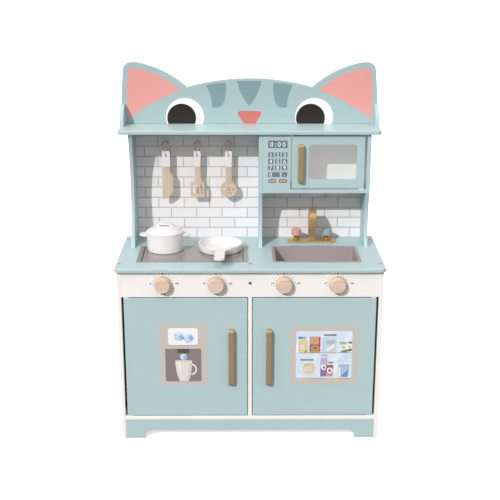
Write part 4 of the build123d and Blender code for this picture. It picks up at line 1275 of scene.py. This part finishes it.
@dataclass
class CrossHeads:
    """Cross-slotted heads for every visible screw, each a low dome with a cross pressed into it."""

    radius: float = 3.3
    fascia_share: float = 0.62
    dome: float = 0.55
    slot_depth: float = 0.42
    slot_half_width: float = 0.42
    slot_reach: float = 1.9
    slot_softness: float = 0.12
    slot_end_softness: float = 0.3
    proud: float = 0.02
    rings: int = 16
    spokes: int = 64
    bite: float = 0.3
    edge_inset: float = 3.6
    front_row: float = 42.0
    back_row: float = 233.5
    above_knobs: float = 2.0

    def _head(self) -> tuple[np.ndarray, list[list[int]]]:
        """Work out one head, facing up, in millimetres.

        Height is dome (1 - (r / radius)^2) less slot_depth times a mask that is 1 inside either bar of the
        cross; the last ring is the foot of the wall and both ends of the grid close on a middle point.
        """
        r = np.linspace(0, 1, self.rings + 1)[1:, None] ** 0.8 * self.radius
        angle = np.linspace(0, 2 * math.pi, self.spokes, endpoint=False)[None]
        x, y = r * np.cos(angle), r * np.sin(angle)

        def bar(along: np.ndarray, across: np.ndarray) -> np.ndarray:
            """Return 1 inside one bar of the cross, falling to 0 just outside it."""
            side = np.clip((self.slot_half_width - abs(across)) / self.slot_softness + 1, 0, 1)
            return side * np.clip((self.slot_reach - abs(along)) / self.slot_end_softness, 0, 1)

        height = self.dome * (1 - (r / self.radius) ** 2) - self.slot_depth * np.maximum(bar(x, y), bar(y, x))
        top = np.stack([x, y, height + self.proud], axis=-1).reshape(-1, 3)
        foot = np.column_stack([x[-1], y[-1], np.full(self.spokes, -self.bite)])
        middle = [[0, 0, self.dome - self.slot_depth + self.proud], [0, 0, -self.bite]]
        points = np.concatenate([top, foot, middle])
        rows = self.rings + 1
        crown, base = rows * self.spokes, rows * self.spokes + 1
        at = np.arange(self.spokes)
        after = np.roll(at, -1)
        faces = grid_faces(rows, self.spokes, False, True)
        faces += np.column_stack([np.full(self.spokes, crown), at, after]).tolist()
        last = (rows - 1) * self.spokes
        faces += np.column_stack([np.full(self.spokes, base), last + after, last + at]).tolist()
        return points, faces

    def build(self) -> None:
        """Put a head on each worktop screw and on the one in the fascia."""
        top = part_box("countertop")[1].z / MM
        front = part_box("control_fascia")[0].y / MM
        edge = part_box("countertop")[0].y / MM
        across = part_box("assembly_screws")[1].x / MM - self.edge_inset
        near, far = edge + self.front_row, edge + self.back_row
        places = [(side * across, y, top) for side in (-1, 1) for y in (near, far)] + [(0.0, near, top)]
        head, faces = self._head()
        upright = np.column_stack([head[:, 0], -head[:, 2], head[:, 1]]) * self.fascia_share
        low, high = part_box("stove_knob_1")
        fascia_z = (low.z + high.z) / 2 / MM + self.above_knobs
        shells = [head + np.array(place) for place in places] + [upright + np.array((0.0, front, fascia_z))]
        points = np.concatenate(shells) * MM
        offsets = np.arange(len(shells)) * len(head)
        every = [[corner + offset for corner in face] for offset in offsets.tolist() for face in faces]
        mesh = closed_mesh("screw_heads", points, every)
        mesh.polygons.foreach_set("use_smooth", np.ones(len(mesh.polygons), bool))
        mesh.materials.append(STEEL.material("screw_heads"))
        add_piece("screw_heads", mesh, "cabinet")


@dataclass
class StringLoop:
    """A utensil's hanging loop: two strands twisted along the loop's line, and a small knot.

    Attributes:
        name: the piece's name.
        node: the plain loop that it stands for.
        utensil: the utensil that hangs on it.
        number: which peg it hangs from, counted from 0 at the left.
    """

    name: str
    node: str
    utensil: str
    number: int
    strand_radius: float = 0.52
    strand_offset: float = 0.46
    twist_pitch: float = 4.2
    sides: int = 8
    knot_reach: float = 1.05
    knot_strand: float = 0.62

    def _line(self) -> np.ndarray:
        """Return points along the loop's smooth line, from knot round to knot, in millimetres."""
        low, high = (np.array(corner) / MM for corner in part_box("utensil_pegs"))
        peg_z = (low[2] + high[2]) / 2
        head_radius = (high[2] - low[2]) / 2
        x = low[0] + head_radius + self.number * ((high[0] - low[0]) / 2 - head_radius)
        low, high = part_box(self.utensil)
        hang_y = (low.y + high.y) / 2 / MM
        route = [
            (x - 5.2, hang_y - 2.8, peg_z - 5.8),
            (x - 5.1, hang_y - 1, peg_z + 5.1),
            (x + 5.1, hang_y + 1, peg_z + 5.1),
            (x + 5.3, hang_y + 3.8, peg_z - 12),
            (x, hang_y + 3.4, peg_z - 27),
            (x, hang_y - 3.4, peg_z - 27),
            (x - 5.3, hang_y - 3.8, peg_z - 12),
            (x - 5.2, hang_y - 2.8, peg_z - 6.2),
        ]
        curve = bpy.data.curves.new(self.name, "CURVE")
        curve.dimensions = "3D"
        spline = curve.splines.new("NURBS")
        spline.points.add(len(route) - 1)
        spline.points.foreach_set("co", np.column_stack([route, np.ones(len(route))]).ravel())
        spline.order_u = 3
        spline.use_endpoint_u = True
        spline.resolution_u = 24
        return read_curve(curve)[0]

    def build(self) -> None:
        """Twist two strands along the line, tie the knot and replace the plain loop."""
        line = self._line()
        steps = np.linalg.norm(np.diff(line, axis=0), axis=1)
        run = np.concatenate([[0], np.cumsum(steps)])
        turn = 2 * math.pi * run / self.twist_pitch
        across, outward = frames_along(line)
        tubes = []
        for start in (0.0, math.pi):
            lead = np.cos(turn + start)[:, None] * across + np.sin(turn + start)[:, None] * outward
            tubes.append(tube(line + self.strand_offset * lead, self.strand_radius, self.sides))
        a = np.linspace(0, 2 * math.pi, 72, endpoint=False)
        trefoil = np.stack(
            [np.sin(a) + 2 * np.sin(2 * a), np.cos(a) - 2 * np.cos(2 * a), -np.sin(3 * a)], axis=1
        ) * (self.knot_reach / 2)
        middle = (line[0] + line[-1]) / 2
        tubes.append(tube(middle + trefoil[:, [2, 0, 1]], self.knot_strand, self.sides, True))
        points = np.concatenate([part[0] for part in tubes]) * MM
        counts = np.cumsum([0] + [len(part[0]) for part in tubes[:-1]]).tolist()
        faces = [
            [corner + offset for corner in face] for (_, part), offset in zip(tubes, counts) for face in part
        ]
        mesh = closed_mesh(self.name, points, faces)
        mesh.polygons.foreach_set("use_smooth", np.ones(len(mesh.polygons), bool))
        mesh.materials.append(STRING_COTTON.material(self.name))
        piece = add_piece(self.name, mesh, frame["nodes"][self.node]["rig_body"])
        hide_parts(self.node)


def frames_along(line: np.ndarray, closed: bool = False) -> tuple[np.ndarray, np.ndarray]:
    """Return two directions square to a line at each of its points.

    The first is a fixed guide less its part along the line, made a unit long, and the second is the line's
    direction crossed with the first.

    Args:
        line: points, one row each.
        closed: whether the last point joins the first.

    Returns:
        Two arrays of unit directions.
    """
    if closed:
        forward = np.roll(line, -1, axis=0) - np.roll(line, 1, axis=0)
    else:
        forward = np.gradient(line, axis=0)
    forward /= np.linalg.norm(forward, axis=1, keepdims=True)
    guide = np.broadcast_to(np.array(STRING_GUIDE), line.shape)
    first = guide - np.sum(guide * forward, axis=1, keepdims=True) * forward
    first /= np.linalg.norm(first, axis=1, keepdims=True)
    return first, np.cross(forward, first)


def tube(
    line: np.ndarray, radius: float, sides: int, closed: bool = False
) -> tuple[np.ndarray, list[list[int]]]:
    """Carry a circle along a line, with a flat cap at each end unless the line is closed.

    Args:
        line: the centre line's points.
        radius: the circle's radius.
        sides: the points round it.
        closed: whether the last point joins the first.

    Returns:
        The tube's points and faces.
    """
    first, second = frames_along(line, closed)
    angle = np.linspace(0, 2 * math.pi, sides, endpoint=False)
    spoke = np.cos(angle)[None, :, None] * first[:, None] + np.sin(angle)[None, :, None] * second[:, None]
    points = (line[:, None] + radius * spoke).reshape(-1, 3)
    faces = grid_faces(len(line), sides, closed, True)
    if not closed:
        faces += [list(range(sides)), list(range(len(points) - sides, len(points)))]
    return points, faces


# ---- the whole kitchen ----


class Cabinet:
    """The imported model's own nodes, each dressed in its slot's finish."""

    finish_of_node = {"utensil_pegs": PEG_WOOD, "cat_headboard": HEADBOARD_SHADED_PAINT}

    def build(self) -> None:
        """Give every node its material."""
        for part in frame["record"]["subparts"]:
            node, slot = part["node"], part["material_slot"]
            finish = self.finish_of_node.get(node, FINISH_OF_SLOT[slot])
            mesh = frame["nodes"][node].data
            mesh.materials.clear()
            mesh.materials.append(finish.material(node))


@dataclass
class Studio:
    """A white floor with a wall round it, a soft dome of light, one sun and the camera."""

    camera_place: tuple[float, float, float] = (-0.01993, -2.2093, 1.09858)
    pitch_down: float = 0.2976
    turn_right: float = 0.00926
    roll: float = 0.0016
    lens: float = 71.82
    sensor: float = 36.0
    sun_travel: tuple[float, float, float] = (0.553, 1.0, -0.710)
    sun_strength: float = 2.27
    sun_width: float = 0.7
    sun_colour: Colour = (0.99, 1.0, 1.02)
    zenith: float = 1.27
    below: float = 0.27
    dome_foot: float = -0.08
    dome_colour: Colour = (1.0, 0.95, 0.93)
    floor_size: float = 60.0
    floor_sides: int = 96
    wall_height: float = 16.0
    floor_glow: float = 0.55

    def build(self) -> None:
        """Set up the camera, the lights and the floor."""
        self._camera()
        self._sun()
        self._dome()
        self._floor()

    def _camera(self) -> None:
        """Stand the camera where the kitchen is seen from a little above."""
        data = bpy.data.cameras.new("camera")
        data.lens = self.lens
        data.sensor_width = self.sensor
        camera = bpy.data.objects.new("camera", data)
        bpy.context.scene.collection.objects.link(camera)
        camera.location = self.camera_place
        aim = Euler((math.pi / 2 - self.pitch_down, 0.0, -self.turn_right)).to_matrix()
        camera.rotation_euler = (aim @ Matrix.Rotation(self.roll, 3, "Z")).to_euler()
        bpy.context.scene.camera = camera

    def _sun(self) -> None:
        """Aim a sun along its direction of travel."""
        data = bpy.data.lights.new("sun", "SUN")
        data.energy = self.sun_strength
        data.angle = math.radians(self.sun_width)
        data.color = self.sun_colour
        sun = bpy.data.objects.new("sun", data)
        bpy.context.scene.collection.objects.link(sun)
        x, y, z = self.sun_travel
        sun.rotation_euler = (math.atan2(math.hypot(x, y), -z), 0.0, math.atan2(y, x) - math.pi / 2)

    def _dome(self) -> None:
        """Light the world from the dome's foot to its zenith in proportion to the height of the direction."""
        world = bpy.data.worlds.new("studio_dome")
        bpy.context.scene.world = world
        world.use_nodes = True
        nodes = Nodes(world.node_tree)
        direction = nodes.node("ShaderNodeTexCoord").outputs["Generated"]
        height = nodes.node("ShaderNodeSeparateXYZ", {}, {0: direction}).outputs["Z"]
        limits = {"From Min": self.dome_foot, "From Max": 1.0, "To Min": self.below, "To Max": self.zenith}
        strength = nodes.node("ShaderNodeMapRange", {}, {"Value": height, **limits})
        light = nodes.node(
            "ShaderNodeBackground", {}, {"Color": self.dome_colour, "Strength": strength.outputs[0]}
        )
        nodes.node("ShaderNodeOutputWorld", {}, {"Surface": light.outputs[0]})

    def _floor(self) -> None:
        """Lay a large round pale floor with a wall at its edge, both shining a little to stay white."""
        count = self.floor_sides
        turn = np.arange(count) * 2 * math.pi / count
        ring = np.column_stack([np.cos(turn), np.sin(turn)]) * self.floor_size / 2
        levels = (0.0, self.wall_height)
        points = np.vstack([np.column_stack([ring, np.full(count, level)]) for level in levels])
        at = np.arange(count)
        after = np.roll(at, -1)
        wall = np.column_stack([after, at, at + count, after + count])
        mesh = bpy.data.meshes.new("floor")
        mesh.from_pydata(points.tolist(), [], [at.tolist()] + wall.tolist())
        recipe = Recipe("floor_paper")
        pale = recipe.blend(recipe.noise(3, 3), srgb(246, 246, 246), srgb(252, 252, 252))
        shine = {"Emission_Color": (1.0, 1.0, 1.0), "Emission_Strength": self.floor_glow}
        mesh.materials.append(recipe.finish(pale, 0.9, **shine))
        floor = bpy.data.objects.new("floor", mesh)
        bpy.context.scene.collection.objects.link(floor)
        floor.visible_diffuse = False
        floor.visible_glossy = False
        floor.visible_shadow = False
        floor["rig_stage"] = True


def write_sizes() -> None:
    """Write the model's box from before and after dressing, for comparison."""
    corners = {"cad": cad_box, "visual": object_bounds()}
    sizes = {name: [list(low), list(high)] for name, (low, high) in corners.items()}
    for name, (low, high) in sizes.items():
        log.info("%s box: %s to %s", name, np.round(low, 4).tolist(), np.round(high, 4).tolist())


def main() -> None:
    """Build the studio and dress the kitchen."""
    logging.basicConfig(level=logging.INFO, format="%(name)s: %(message)s")
    bpy.context.scene.view_settings.view_transform = "Standard"
    Studio().build()
    Cabinet().build()
    sub_assemblies = (
        CatFace(),
        Keypad(),
        StoveDials(),
        HobPrint(),
        DispenserPicture(),
        FridgePicture(),
        CrossHeads(),
        StringLoop("knife_loop", "knife_string", "spreader_knife", 0),
        StringLoop("turner_loop", "turner_string", "slotted_turner", 1),
        StringLoop("skimmer_loop", "skimmer_string", "skimmer", 2),
    )
    for sub_assembly in sub_assemblies:
        sub_assembly.build()
    write_sizes()


if __name__ == "__main__":
    main()
